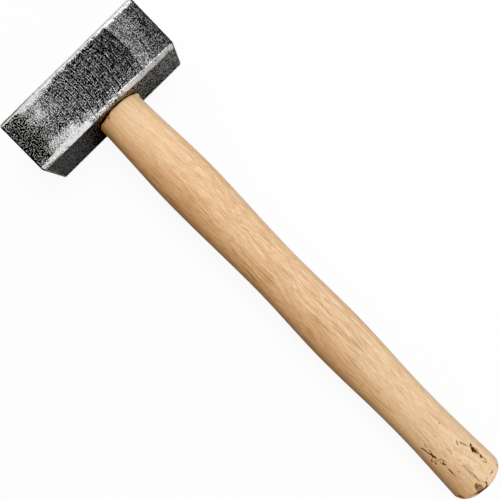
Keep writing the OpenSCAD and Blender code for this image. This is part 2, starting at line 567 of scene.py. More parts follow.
@dataclass(frozen=True)
class ScratchEffect:
    """Thin bowed lines side by side, each broken along its run, with a lighter lip beside it."""

    drift_scale: float = 0.13
    drift_roughness: float = 0.55
    drift_reach: float = 4.0
    layer_depth: float = 9.0
    bare_level: float = 0.66
    cover_reach: float = 0.32
    break_softness: float = 0.1
    core: float = 0.35
    lip_shift: float = 1.2

    def build(self) -> NodeTree:
        """Builds the group.

        Returns:
            The group's tree.
        """
        group = GroupTree("Line scratches",
                          {"Position": (Kind.VECTOR, ORIGIN), "Turn": (Kind.NUMBER, 0.0),
                           "Bow": (Kind.NUMBER, 0.0), "Spacing": (Kind.NUMBER, 3.0),
                           "Width": (Kind.NUMBER, 0.3), "Waver": (Kind.NUMBER, 1.0),
                           "Run": (Kind.NUMBER, 8.0), "Cover": (Kind.NUMBER, 0.5)},
                          {"Dark": Kind.NUMBER, "Light": Kind.NUMBER})
        s, given = group.shader, group.given
        feeds = {"Vector": given["Position"], "Angle": given["Turn"]}
        turned = s.node("ShaderNodeVectorRotate", feeds, rotation_type="Z_AXIS").outputs[0]
        along, aside, up = s.axes(turned)
        drift = s.centred(s.grain_noise(turned, self.drift_scale, 2.0, self.drift_roughness))
        reach = s.times(given["Waver"], self.drift_reach)
        across = s.math("ADD", aside, s.times(drift, reach))
        across = s.times_plus(s.times(along, along), given["Bow"], across)
        turns = s.math("DIVIDE", across, given["Spacing"])
        run = s.join(s.math("DIVIDE", along, given["Run"]), s.math("FLOOR", turns),
                     s.math("DIVIDE", up, self.layer_depth))
        whole = s.grain_noise(run, 1.0, 1.0, 0.5)
        edge = s.math("SUBTRACT", self.bare_level, s.times(given["Cover"], self.cover_reach))
        present = s.step(whole, edge, s.math("ADD", edge, self.break_softness))
        away = s.times(s.centred(s.math("FRACT", turns)), given["Spacing"])
        for name, shift in (("Dark", 0.0), ("Light", self.lip_shift)):
            off = s.math("ABSOLUTE", s.math("SUBTRACT", away, s.times(given["Width"], shift)))
            line = s.step(off, s.times(given["Width"], self.core), given["Width"], 1.0, 0.0)
            group.give(name, s.times(line, present))
        return group.tree


@dataclass(frozen=True)
class WoodGrainEffect:
    """The figure of plain-sawn wood whose grain runs along X."""

    sway: Figure = Figure((0.02, 0.04, 0.04))
    sway_y: float = 4.0
    sway_z: float = 2.5
    bands: Figure = Figure((0.009, 0.2, 0.2), 3.0)
    ring: Ramp = Ramp(0.45, 1.0)
    fibres: Figure = Figure((0.07, 2.5, 2.5), 4.0, 0.72, Ramp(0.4, 0.62))
    dash_scale: Triple = (0.15, 1.6, 1.6)
    dash: Ramp = Ramp(0.1, 0.42, 1.0, 0.0)
    dash_cover: Figure = Figure((0.06, 0.25, 0.25), spread=Ramp(0.36, 0.62))
    streaks: Figure = Figure((0.03, 1.3, 1.3), roughness=0.6, spread=Ramp(0.55, 0.67))
    mottle: Figure = Figure((0.045, 0.42, 0.42), 3.0, 0.6, Ramp(0.3, 0.7))

    def build(self) -> NodeTree:
        """Builds the group.

        Returns:
            The group's tree.
        """
        group = GroupTree("Wood grain",
                          {"Position": (Kind.VECTOR, ORIGIN), "Ring spacing": (Kind.NUMBER, 3.0),
                           "Pith": (Kind.VECTOR, (0.0, 30.0, -60.0))},
                          {"Bands": Kind.NUMBER, "Rings": Kind.NUMBER, "Fibres": Kind.NUMBER,
                           "Flecks": Kind.NUMBER, "Streaks": Kind.NUMBER, "Mottle": Kind.NUMBER})
        s, place = group.shader, group.given["Position"]
        sway = s.figure(place, self.sway)
        shift = s.join(0.0, s.times(sway, self.sway_y), s.times(sway, self.sway_z))
        swayed = s.vector("ADD", place, shift)
        group.give("Bands", s.figure(swayed, self.bands))
        flat = s.vector("MULTIPLY", s.vector("SUBTRACT", swayed, group.given["Pith"]), (0.0, 1.0, 1.0))
        turns = s.math("FRACT", s.math("DIVIDE", s.length(flat), group.given["Ring spacing"]))
        group.give("Rings", s.ramp(turns, self.ring))
        group.give("Fibres", s.figure(swayed, self.fibres))
        dashes = s.ramp(s.cells(s.vector("MULTIPLY", swayed, self.dash_scale), 1.0), self.dash)
        group.give("Flecks", s.times(dashes, s.figure(swayed, self.dash_cover)))
        group.give("Streaks", s.figure(swayed, self.streaks))
        group.give("Mottle", s.figure(swayed, self.mottle))
        return group.tree


class Effects:
    """The surface effects that the materials are put together from, each built once as a node group."""

    def __init__(self) -> None:
        """Builds every group."""
        self.position = self._position()
        self.soft_patch = self._soft_patch()
        self.edge_distance = self._edge_distance()
        self.speckle = SpeckleEffect().build()
        self.scratches = ScratchEffect().build()
        self.wood_grain = WoodGrainEffect().build()

    @staticmethod
    def _position() -> NodeTree:
        """Gives the place on the object in millimetres, plain and drawn out of shape by noise.

        Returns:
            The group's tree.
        """
        group = GroupTree("Place on the object",
                          {"Wander": (Kind.NUMBER, 2.0), "Wander size": (Kind.NUMBER, 8.0)},
                          {"Plain": Kind.VECTOR, "Wandering": Kind.VECTOR})
        s = group.shader
        metres = s.node("ShaderNodeTexCoord").outputs["Object"]
        plain = s.vector("MULTIPLY", metres, (1 / MM,) * 3)
        scale = s.math("DIVIDE", 1.0, group.given["Wander size"])
        lumps = s.node("ShaderNodeTexNoise", {"Vector": plain, "Scale": scale, "Detail": 3.0}).outputs[1]
        centred = s.vector("SUBTRACT", lumps, (NOISE_MEAN,) * 3)
        grown = s.node("ShaderNodeVectorMath", {0: centred, "Scale": group.given["Wander"]},
                       operation="SCALE").outputs[0]
        group.give("Plain", plain)
        group.give("Wandering", s.vector("ADD", plain, grown))
        return group.tree

    @staticmethod
    def _soft_patch() -> NodeTree:
        """Gives 1 inside a box and falls smoothly to 0 round it.

        Returns:
            The group's tree.
        """
        group = GroupTree("Soft patch",
                          {"Position": (Kind.VECTOR, ORIGIN), "Centre": (Kind.VECTOR, ORIGIN),
                           "Half size": (Kind.VECTOR, (1.0,) * 3), "Fade": (Kind.NUMBER, 1.0)},
                          {"Mask": Kind.NUMBER})
        s = group.shader
        offset = s.vector("ABSOLUTE", s.vector("SUBTRACT", group.given["Position"], group.given["Centre"]))
        outside = s.vector("MAXIMUM", s.vector("SUBTRACT", offset, group.given["Half size"]), ORIGIN)
        group.give("Mask", s.step(s.length(outside), 0.0, group.given["Fade"], 1.0, 0.0))
        return group.tree

    @staticmethod
    def _edge_distance() -> NodeTree:
        """Gives the distance from a box's edges, apart for the edges along X and those along Z.

        Returns:
            The group's tree.
        """
        group = GroupTree("Edge distance",
                          {"Position": (Kind.VECTOR, ORIGIN), "Centre": (Kind.VECTOR, ORIGIN),
                           "Half size": (Kind.VECTOR, (1.0,) * 3)},
                          {"Along X": Kind.NUMBER, "Along Z": Kind.NUMBER})
        s = group.shader
        offset = s.vector("ABSOLUTE", s.vector("SUBTRACT", group.given["Position"], group.given["Centre"]))
        x, y, z = s.axes(s.vector("SUBTRACT", group.given["Half size"], offset))
        group.give("Along X", s.math("MAXIMUM", y, z))
        group.give("Along Z", s.math("MAXIMUM", x, y))
        return group.tree


def new_material(name: str, colour: Colour) -> tuple[Material, ShaderTree, bpy.types.Node]:
    """Makes a material with one plain surface shader.

    Args:
        name: The material's name.
        colour: Its mean colour, for plain views.

    Returns:
        The material, its shader tree and the surface shader's node.
    """
    material = bpy.data.materials.new(name)
    material.use_nodes = True
    material.diffuse_color = colour
    shader = next(node for node in material.node_tree.nodes if node.type == "BSDF_PRINCIPLED")
    return material, ShaderTree(material.node_tree), shader


# Finishes


@dataclass(frozen=True)
class SoftBox:
    """A box that fades out round it: its centre, its half size and how far it fades."""

    centre: Triple
    half_size: Triple
    fade: float

    def mask(self, effects: Effects, s: ShaderTree, place: Feed) -> Socket:
        """Finds where the box lies."""
        return s.place(effects.soft_patch, Position=place, Centre=self.centre, Half_size=self.half_size,
                       Fade=self.fade).outputs[0]


@dataclass(frozen=True)
class Patch:
    """A patch seen from above: its centre and half size in X and Y, how far it fades, what it changes."""

    centre: Pair
    half_size: Pair
    fade: float
    change: float

    @property
    def box(self) -> SoftBox:
        """The patch as a box that reaches through the hammer."""
        return SoftBox((*self.centre, AXIS_HEIGHT), (*self.half_size, THROUGH), self.fade)


@dataclass(frozen=True)
class Hatch:
    """One layer of ground or scuffed lines: how it runs, and how far it darkens and lightens the tone."""

    turn_degrees: float
    bow: float
    spacing: float
    width: float
    waver: float
    run: float
    cover: float
    darker: float
    lighter: float

    def lines(self, effects: Effects, s: ShaderTree, place: Feed) -> dict[str, Socket]:
        """Lays the lines.

        Args:
            effects: The surface effects.
            s: The material's tree.
            place: The place on the object.

        Returns:
            The masks of the lines and of their lips, by the names Dark and Light.
        """
        laid = s.place(effects.scratches, Position=place, Turn=math.radians(self.turn_degrees), Bow=self.bow,
                       Spacing=self.spacing, Width=self.width, Waver=self.waver, Run=self.run,
                       Cover=self.cover).outputs
        return {name: laid[name] for name in ("Dark", "Light")}


@dataclass(frozen=True)
class HeadPlace:
    """Where a point of the head's surface lies, as sockets of the head's material."""

    plain: Socket
    wandering: Socket
    across: Socket
    sweep: Socket
    height: Socket
    on_cheek: Socket
    on_end: Socket


@dataclass(frozen=True)
class BevelWearAndShade:
    """Where the head's ground bevels are bright, where black scale is left on them, and where painted shade
    beside the handle narrows and darkens them.

    Ramps run along the head in Y, apart from those that are named for another measure.
    """

    half_size: Triple = (18.5, 53.0, 18.5)
    face_bevel: float = 1.2
    uneven_scale: float = 0.3
    uneven_layers: float = 3.0
    uneven_roughness: float = 0.6
    border_uneven: float = 0.8
    border_grain: float = -0.4
    bright: Ramp = Ramp(1.12, 1.4, 1.0, 0.0)
    # Painted shade beside the handle: this box narrows the bright bevel, and with the ramps below darkens its
    # lower part
    handle_shade_box: SoftBox = SoftBox((18.0, -1.0, 34.0), (6.0, 9.0, 6.0), 7.0)
    handle_shade_narrowing: float = 0.16
    below_uneven: float = 1.5
    below_z: Ramp = Ramp(35.4, 36.2, 1.0, 0.0)
    handle_side_x: Ramp = Ramp(14.0, 15.0)
    near_left: Ramp = Ramp(-43.0, -30.0, 1.0, 0.0)
    rim_uneven: float = 0.5
    rim_x: Ramp = Ramp(-46.0, -22.0, -17.1, -18.2)
    rim_softness: float = 0.3
    rim_left: Ramp = Ramp(-30.0, 0.0, 1.0, 0.0)
    scale_and_shade_dimming: float = -0.85
    end_softness: float = 0.2
    lip_reach: Pair = (0.6, 1.0)
    lip_left: Ramp = Ramp(-10.0, 10.0, 1.0, 0.0)

    def masks(self, effects: Effects, s: ShaderTree, plain: Feed,
              grainy: Feed) -> tuple[Feed, Feed, Feed, Feed]:
        """Finds the ground bevels along the head's edges.

        Args:
            effects: The surface effects.
            s: The material's tree.
            plain: The place on the object.
            grainy: The speckle, which breaks up the bevels' borders.

        Returns:
            Masks of the long bevels, dimmed by black scale and by painted shade beside the handle, the black
            scale left along one of them, the end bevels and the bright line inside each end bevel.
        """
        centre = (0.0, 0.0, self.half_size[2])
        edge = s.place(effects.edge_distance, Position=plain, Centre=centre, Half_size=self.half_size).outputs
        uneven = s.centred(s.grain_noise(plain, self.uneven_scale, self.uneven_layers, self.uneven_roughness))
        share = s.attribute("bevel")
        # Painted shade: beside the handle the bright bevel is narrowed
        handle_shade_box = self.handle_shade_box.mask(effects, s, plain)
        share = s.times_plus(handle_shade_box, self.handle_shade_narrowing, share)
        ragged = s.times_plus(uneven, self.border_uneven, share)
        ragged = s.times_plus(grainy, self.border_grain, ragged)
        bevel = s.ramp(ragged, self.bright)
        x, y, z = s.axes(plain)
        below = s.ramp(s.times_plus(uneven, self.below_uneven, z), self.below_z)
        inward = s.times_plus(uneven, self.rim_uneven, x)
        inward = s.math("SUBTRACT", inward, s.ramp(y, self.rim_x))
        rim = s.step(inward, -self.rim_softness, self.rim_softness, 1.0, 0.0)
        rim = s.times(rim, s.ramp(y, self.rim_left))
        # The bevel's lower part is darkened: painted shade beside the handle, black scale at the left end
        by_handle = s.ramp(x, self.handle_side_x)
        by_handle = s.times(by_handle, s.math("MAXIMUM", handle_shade_box, s.ramp(y, self.near_left)))
        scale_and_shade = s.math("MAXIMUM", s.times(below, by_handle), rim)
        bevel = s.times(bevel, s.times_plus(scale_and_shade, self.scale_and_shade_dimming, 1.0))
        ends = s.math("MINIMUM", edge["Along X"], edge["Along Z"])
        ends = s.math("ADD", ends, uneven)
        end_low, end_high = self.face_bevel - self.end_softness, self.face_bevel + self.end_softness
        end_bevel = s.step(ends, end_low, end_high, 1.0, 0.0)
        lip_low, lip_high = (self.face_bevel + reach for reach in self.lip_reach)
        inner = s.step(ends, lip_low, lip_high, 1.0, 0.0)
        lip = s.math("SUBTRACT", inner, end_bevel)
        lip = s.times(lip, s.ramp(y, self.lip_left))
        return bevel, rim, end_bevel, lip


@dataclass(frozen=True)
class ForgedSteel:
    """Dark forging scale, worn to bright steel at the bevels and in patches on the cheeks, with painted shade
    on the bevel beside the handle and on the side faces towards -Y.

    The finish is worked out as one tone, from 0 for black scale to 1 for the brightest steel. Ramps run along
    the head in Y, apart from those that are named for another measure.
    """

    name: str = "Forged steel with worn scale"
    mean_colour: Colour = (0.16, 0.16, 0.17, 1.0)
    half_size: Triple = (18.5, 53.0, 18.5)
    wander: float = 2.4
    wander_size: float = 5.0
    cheek_border: Pair = (1.2, 0.5)
    end_border: Pair = (1.2, 0.7)
    black: Colour = (0.004, 0.004, 0.0045, 1.0)
    bright: Colour = (1.0, 1.0, 1.0, 1.0)
    tone_power: float = 2.2
    olive: Colour = (0.9, 0.84, 0.7, 1.0)
    olive_share: float = 0.35
    olive_stain: SoftBox = SoftBox((0.0, -48.0, 37.0), (20.0, 5.0, 4.0), 7.0)
    specular: float = 0.25
    roughness_by_tone: Ramp = Ramp(0.2, 0.8, 0.55, 0.4)
    metallic_by_tone: Ramp = Ramp(0.2, 0.7, 0.4, 1.0)
    bevel_metallic: float = 0.5
    cheek_tone: float = 0.35
    least_tone: float = 0.17
    least_tone_blend: float = 0.12
    # Tone of the side faces along Y, darker towards -Y: painted shade
    side_tone_and_shade: Ramp = Ramp(-45.0, 45.0, 0.455, 0.47)
    face_tone: float = 0.5
    speckle_size: float = 0.5
    speckle_mean: float = 0.3
    cheek_grain: Ramp = Ramp(-35.0, -10.0, 1.15, 0.75)
    far_cheek_grain: Ramp = Ramp(14.0, 28.0, 1.0, 0.76)
    side_grain: Ramp = Ramp(-10.0, 30.0, 0.52, 1.15)
    wedged_side_grain_by_x: Ramp = Ramp(-15.0, 0.0, 0.5, 1.0)
    face_grain: float = 0.3
    cloud_scale: float = 0.16
    cloud_strength: float = 0.09
    pit_tone: float = -0.05
    bevels: BevelWearAndShade = BevelWearAndShade()
    bevel_tone: Ramp = Ramp(-25.0, 45.0, 1.3, 1.34)
    bevel_left_end: Ramp = Ramp(-50.0, -40.0, 1.0, 0.0)
    bevel_left_tone: float = -0.25
    bevel_most_by_x: Ramp = Ramp(-15.0, 0.0, 1.1, 1.4)
    bevel_grain_by_x: Ramp = Ramp(-15.0, 0.0, 0.7, 1.1)
    bevel_streaks: Figure = Figure((0.35, 1.7, 0.35), 3.0, 0.7, Ramp(0.5, 0.68))
    bevel_streak_tone: float = -0.6
    rim_tone: float = -0.35
    end_bevel_tone_by_height: Ramp = Ramp(14.0, 17.0, 0.47, 0.26)
    end_bevel_grain: float = 0.2
    lip_tone: float = 0.2
    speckle_relief: float = 0.5
    line_relief: float = 2.0
    pit_relief: float = 0.25
    bevel_smoothing: float = 0.8
    bump_strength: float = 0.5
    bump_height: float = 0.1
    ground_panel: Patch = Patch((-1.0, -15.2), (24.0, 46.0), 0.6, -0.12)
    panel_bow: float = 0.005
    panel_deepens: Ramp = Ramp(3.0, 27.0, 1.0, 1.7)
    lines_by_panel: Ramp = Ramp(0.0, 1.0, 0.25, 1.0)
    lines_along: Ramp = Ramp(-26.0, -12.0, 0.35, 1.0)
    patches: tuple[Patch, ...] = (
        Patch((0.0, -44.0), (24.0, 6.0), 8.0, -0.04),
        Patch((-11.0, -33.0), (4.0, 2.6), 6.5, 0.33),
        Patch((-7.0, -25.0), (6.0, 4.0), 6.0, 0.14),
        Patch((3.0, -29.0), (8.0, 9.0), 5.0, 0.10),
        Patch((-2.0, -34.5), (5.0, 2.0), 3.0, 0.08),
        Patch((9.5, -35.0), (1.5, 2.5), 3.0, 0.14),
        Patch((-15.8, -26.5), (1.2, 12.5), 3.0, 0.46),
        Patch((-15.0, -49.0), (1.5, 3.0), 3.0, 0.16),
        Patch((13.8, -31.5), (1.8, 9.0), 4.5, 0.52),
        Patch((14.6, -17.0), (0.8, 7.0), 4.5, 0.26),
        Patch((15.6, -2.0), (0.8, 10.0), 3.0, 0.1),
        Patch((-16.4, 5.0), (0.5, 22.0), 2.2, 0.46),
        Patch((-16.4, 38.0), (0.5, 13.0), 2.4, 0.66),
        Patch((0.0, -44.0), (12.0, 4.0), 4.0, -0.06),
        Patch((13.0, 28.0), (4.0, 8.0), 5.0, 0.05),
        Patch((0.0, -11.0), (24.0, 4.0), 9.0, 0.08),
        Patch((0.0, 38.0), (24.0, 6.2), 0.8, 0.08),
        Patch((0.0, 53.0), (24.0, 5.0), 7.0, -0.09),
        Patch((-9.0, -41.0), (7.0, 2.0), 4.0, 0.13),
        Patch((5.0, -40.5), (9.0, 2.0), 5.0, 0.02),
        Patch((8.0, 41.0), (8.0, 2.5), 5.0, -0.08),
        Patch((4.0, -33.0), (7.0, 1.5), 4.0, 0.06),
        Patch((-9.0, -28.0), (7.0, 4.0), 4.0, 0.08),
        Patch((14.5, 19.0), (1.5, 11.0), 3.0, 0.10),
    )
    hatches: tuple[Hatch, ...] = (
        Hatch(0.0, 0.009, 4.2, 0.44, 0.5, 12.0, 0.8, 0.90, 0.20),
        Hatch(-2.0, 0.009, 2.3, 0.32, 0.6, 6.0, 0.6, 0.36, 0.28),
        Hatch(90.0, 0.0, 1.05, 0.26, 0.2, 4.0, 0.7, 0.08, 0.18),
        Hatch(88.0, 0.0, 4.8, 0.34, 0.3, 9.0, 0.6, 0.10, 0.28),
    )

    def build(self, effects: Effects) -> Material:
        """Builds the material.

        Args:
            effects: The surface effects.

        Returns:
            The finished material.
        """
        material, s, surface = new_material(self.name, self.mean_colour)
        at = self._find_place(effects, s)
        tone, lines = self._scale_tone(effects, s, at)
        speckle = s.place(effects.speckle, Position=at.plain, Size=self.speckle_size).outputs
        clouds = s.grain_noise(at.plain, self.cloud_scale, 3.0, 0.6)
        grainy = s.math("SUBTRACT", speckle["Value"], self.speckle_mean)
        tone = s.math("ADD", tone, s.times(grainy, self._grain_strength(s, at)))
        tone = s.math("ADD", tone, s.times(s.centred(clouds), self.cloud_strength))
        tone = s.times_plus(speckle["Pits"], self.pit_tone, tone)
        tone, bevel = self._ground_tone(effects, s, at, tone, grainy)

        stain = self.olive_stain.mask(effects, s, at.wandering)
        colour = s.blend(s.math("POWER", tone, self.tone_power), self.black, self.bright)
        colour = s.tint(s.times(stain, self.olive_share), colour, self.olive)
        s.send(colour, surface, "Base Color")
        s.send(s.mix(bevel, s.ramp(tone, self.metallic_by_tone), self.bevel_metallic), surface, "Metallic")
        s.send(s.ramp(tone, self.roughness_by_tone), surface, "Roughness")
        surface.inputs["Specular IOR Level"].default_value = self.specular

        raised = s.math("ADD", s.times(speckle["Value"], self.speckle_relief),
                        s.times(lines, self.line_relief))
        raised = s.math("SUBTRACT", raised, s.times(speckle["Pits"], self.pit_relief))
        smooth = s.math("SUBTRACT", 1.0, s.times(bevel, self.bevel_smoothing))
        s.send_bump(s.times(raised, smooth), surface, self.bump_strength, self.bump_height)
        return material

    def _find_place(self, effects: Effects, s: ShaderTree) -> HeadPlace:
        """Finds where on the head a point lies.

        Args:
            effects: The surface effects.
            s: The material's tree.

        Returns:
            The place, in the ways that the finish needs it.
        """
        place = s.place(effects.position, Wander=self.wander, Wander_size=self.wander_size).outputs
        plain, wandering = place["Plain"], place["Wandering"]
        _, half_length, half_height = self.half_size
        offset = s.vector("ABSOLUTE", s.vector("SUBTRACT", plain, (0.0, 0.0, half_height)))
        _, length, height = s.axes(offset)
        across, _, _ = s.axes(plain)
        on_cheek = s.step(height, *(half_height - inset for inset in self.cheek_border))
        on_end = s.step(length, *(half_length - inset for inset in self.end_border))
        _, sweep, _ = s.axes(wandering)
        return HeadPlace(plain, wandering, across, sweep, height, on_cheek, on_end)

    def _scale_tone(self, effects: Effects, s: ShaderTree, at: HeadPlace) -> tuple[Feed, Feed]:
        """Works out the tone of the scale on every face, with the grinding lines on the cheeks.

        Args:
            effects: The surface effects.
            s: The material's tree.
            at: The place on the head.

        Returns:
            The tone, and the change of tone that the grinding lines make.
        """
        # The side faces grow darker towards -Y: painted shade
        tone = s.mix(at.on_end, s.ramp(at.sweep, self.side_tone_and_shade), self.face_tone)
        bow = s.times(s.times(at.across, at.across), self.panel_bow)
        bowed = s.vector("ADD", at.plain, s.join(0.0, bow, 0.0))
        panel = self.ground_panel.box.mask(effects, s, bowed)
        deeper = s.ramp(at.sweep, self.panel_deepens.times(self.ground_panel.change))
        cheek: Feed = self.cheek_tone
        for patch in self.patches:
            mask = patch.box.mask(effects, s, at.wandering)
            cheek = s.times_plus(mask, patch.change, cheek)
        tone = s.mix(at.on_cheek, tone, s.times_plus(panel, deeper, cheek))
        share = s.times(s.ramp(panel, self.lines_by_panel), s.ramp(at.sweep, self.lines_along))
        lines: Feed = 0.0
        for hatch in self.hatches:
            laid = hatch.lines(effects, s, at.plain)
            lines = s.times_plus(laid["Dark"], -hatch.darker, lines)
            lines = s.times_plus(laid["Light"], hatch.lighter, lines)
        lines = s.times(lines, share)
        return s.times_plus(lines, at.on_cheek, tone), lines

    def _grain_strength(self, s: ShaderTree, at: HeadPlace) -> Socket:
        """Works out how strongly the speckle changes the tone on each face.

        Args:
            s: The material's tree.
            at: The place on the head.

        Returns:
            The strength at each place.
        """
        side = s.ramp(at.sweep, self.side_grain)
        side = s.times(side, s.ramp(at.across, self.wedged_side_grain_by_x))
        off_cheek = s.mix(at.on_end, side, self.face_grain)
        cheek = s.times(s.ramp(at.sweep, self.cheek_grain), s.ramp(at.sweep, self.far_cheek_grain))
        return s.mix(at.on_cheek, off_cheek, cheek)

    def _ground_tone(self, effects: Effects, s: ShaderTree, at: HeadPlace, tone: Feed,
                     grainy: Feed) -> tuple[Feed, Feed]:
        """Lays the bright ground bevels over the scale.

        Args:
            effects: The surface effects.
            s: The material's tree.
            at: The place on the head.
            tone: The scale's tone.
            grainy: The speckle.

        Returns:
            The tone with the bevels, and the long bevels' mask.
        """
        bevel, rim, end_bevel, lip = self.bevels.masks(effects, s, at.plain, grainy)
        left_end = s.ramp(at.sweep, self.bevel_left_end)
        polish = s.times_plus(left_end, self.bevel_left_tone, s.ramp(at.sweep, self.bevel_tone))
        polish = s.math("MINIMUM", polish, s.ramp(at.across, self.bevel_most_by_x))
        polish = s.times_plus(grainy, s.ramp(at.across, self.bevel_grain_by_x), polish)
        streaks = s.figure(at.plain, self.bevel_streaks)
        polish = s.times_plus(streaks, self.bevel_streak_tone, polish)
        tone = s.mix(bevel, tone, polish)
        tone = s.times_plus(rim, self.rim_tone, tone)
        end_tone = s.ramp(at.height, self.end_bevel_tone_by_height)
        tone = s.mix(end_bevel, tone, s.times_plus(grainy, self.end_bevel_grain, end_tone))
        tone = s.times_plus(lip, self.lip_tone, tone)
        tone = s.math("SMOOTH_MAX", tone, self.least_tone, self.least_tone_blend)
        return s.math("MINIMUM", tone, 1.0), bevel


@dataclass(frozen=True)
class WedgeSteel:
    """Plain rolled steel, scuffed by the hammer blows that drove it."""

    name: str = "Wedge steel"
    mean_colour: Colour = (0.42, 0.42, 0.43, 1.0)
    dark: Colour = (0.1, 0.1, 0.105, 1.0)
    light: Colour = (0.5, 0.5, 0.52, 1.0)
    speckle_size: float = 0.7
    scuffs: Hatch = Hatch(20.0, 0.0, 0.9, 0.2, 0.3, 4.0, 0.6, 0.5, 0.0)
    roughness: Ramp = Ramp(0.0, 1.0, 0.6, 0.38)
    bump_strength: float = 0.6
    bump_height: float = 0.08

    def build(self, effects: Effects) -> Material:
        """Builds the material.

        Args:
            effects: The surface effects.

        Returns:
            The finished material.
        """
        material, s, surface = new_material(self.name, self.mean_colour)
        plain = s.place(effects.position).outputs["Plain"]
        speckle = s.place(effects.speckle, Position=plain, Size=self.speckle_size).outputs["Value"]
        scuffed = self.scuffs.lines(effects, s, plain)["Dark"]
        kept = s.math("SUBTRACT", 1.0, s.times(scuffed, self.scuffs.darker))
        share = s.times(speckle, kept)
        s.send(s.blend(share, self.dark, self.light), surface, "Base Color")
        s.send(s.ramp(share, self.roughness), surface, "Roughness")
        surface.inputs["Metallic"].default_value = 1.0
        s.send_bump(share, surface, self.bump_strength, self.bump_height)
        return material


@dataclass(frozen=True)
class PaintedShade:
    """Painted shade on one side of the handle, deeper in colour where the side is turned from the key light:
    where in Y it starts and is full, and its colour.
    """

    across: Ramp
    colour: Colour


@dataclass(frozen=True)
class Hardwood:
    """Pale straight-grained hardwood, sanded and thinly varnished, with painted shade on the given sides.
    Ramps run along the handle in X.
    """

    name: str = "Handle hardwood"
    wander: float = 0.2
    wander_size: float = 16.0
    pale: Colour = (0.945, 0.735, 0.495, 1.0)
    warm: Colour = (0.905, 0.663, 0.417, 1.0)
    warm_by_bands: Ramp = Ramp(0.2, 0.8)
    rosy: Colour = (0.955, 0.69, 0.48, 1.0)
    rosy_share: float = 0.2
    near_head: Colour = (0.985, 0.945, 0.9, 1.0)
    near_head_share: Ramp = Ramp(210.0, 60.0)
    fibre_shade: Colour = (0.65, 0.44, 0.28, 1.0)
    # Painted shade: the handle's -Y side, turned from the key light, is tinted darker and warmer
    painted_shades: tuple[PaintedShade, ...] = (PaintedShade(Ramp(9.0, -12.0), (0.90, 0.79, 0.66, 1.0)),
                                 PaintedShade(Ramp(-7.0, -16.0), (0.75, 0.69, 0.65, 1.0)))
    fleck: Colour = (0.46, 0.25, 0.11, 1.0)
    flaw: Colour = (0.075, 0.026, 0.004, 1.0)
    knot: Colour = (0.24, 0.10, 0.035, 1.0)
    ring_spacing: float = 3.4
    ring_strength: float = 0.14
    fibre_strength: float = 0.78
    fibres_from_head: Ramp = Ramp(20.0, 95.0, 0.45, 1.0)
    fibres_to_butt: Ramp = Ramp(185.0, 275.0, 1.0, 0.6)
    fleck_strength: float = 0.42
    roughness: Ramp = Ramp(0.0, 1.0, 0.46, 0.6)
    specular: float = 0.4
    fibre_relief: float = -0.5
    fleck_relief: float = -0.6
    bump_strength: float = 0.6
    bump_height: float = 0.05
    streak_strength: float = 0.14
    streaks: tuple[Patch, ...] = (
        Patch((143.0, -7.5), (12.0, 5.0), 6.0, 1.2),
        Patch((245.0, -9.0), (18.0, 5.0), 6.0, 0.45),
        Patch((60.0, -12.0), (30.0, 3.0), 6.0, 0.3),
        Patch((207.0, 4.5), (17.0, 4.0), 6.0, 1.1),
        Patch((292.0, 0.0), (10.0, 9.0), 6.0, 0.3),
    )

    def build(self, effects: Effects) -> Material:
        """Builds the material.

        Args:
            effects: The surface effects.

        Returns:
            The finished material.
        """
        material, s, surface = new_material(self.name, self.warm)
        place = s.place(effects.position, Wander=self.wander, Wander_size=self.wander_size).outputs
        grain = s.place(effects.wood_grain, Position=place["Wandering"],
                        Ring_spacing=self.ring_spacing).outputs
        colour = s.blend(s.ramp(grain["Bands"], self.warm_by_bands), self.pale, self.warm)
        colour = s.blend(s.times(grain["Mottle"], self.rosy_share), colour, self.rosy)
        colour = s.tint(s.times(grain["Rings"], self.ring_strength), colour, self.fibre_shade)
        along, _, _ = s.axes(place["Plain"])
        colour = s.tint(s.ramp(along, self.near_head_share), colour, self.near_head)
        strength = s.times(s.ramp(along, self.fibres_from_head.times(self.fibre_strength)),
                          s.ramp(along, self.fibres_to_butt))
        colour = s.tint(s.times(grain["Fibres"], strength), colour, self.fibre_shade)
        colour = s.blend(s.times(grain["Flecks"], self.fleck_strength), colour, self.fleck)
        streaky: Feed = self.streak_strength
        for streak in self.streaks:
            mask = streak.box.mask(effects, s, place["Plain"])
            streaky = s.times_plus(mask, streak.change, streaky)
        colour = s.blend(s.times(grain["Streaks"], streaky), colour, self.fleck)
        _, across, _ = s.axes(place["Wandering"])
        # Painted shade: darkens and warms the -Y side, which is turned from the key light
        for side in self.painted_shades:
            colour = s.tint(s.ramp(across, side.across), colour, side.colour)
        flaw, knot = s.attribute("flaw"), s.attribute("knot")
        colour = s.blend(knot, colour, self.knot)
        colour = s.blend(flaw, colour, self.flaw)
        s.send(colour, surface, "Base Color")
        s.send(s.ramp(s.math("MAXIMUM", grain["Fibres"], flaw), self.roughness), surface, "Roughness")
        surface.inputs["Specular IOR Level"].default_value = self.specular
        flecks = s.times(grain["Flecks"], self.fleck_relief)
        height = s.times_plus(grain["Fibres"], self.fibre_relief, flecks)
        s.send_bump(height, surface, self.bump_strength, self.bump_height)
        return material


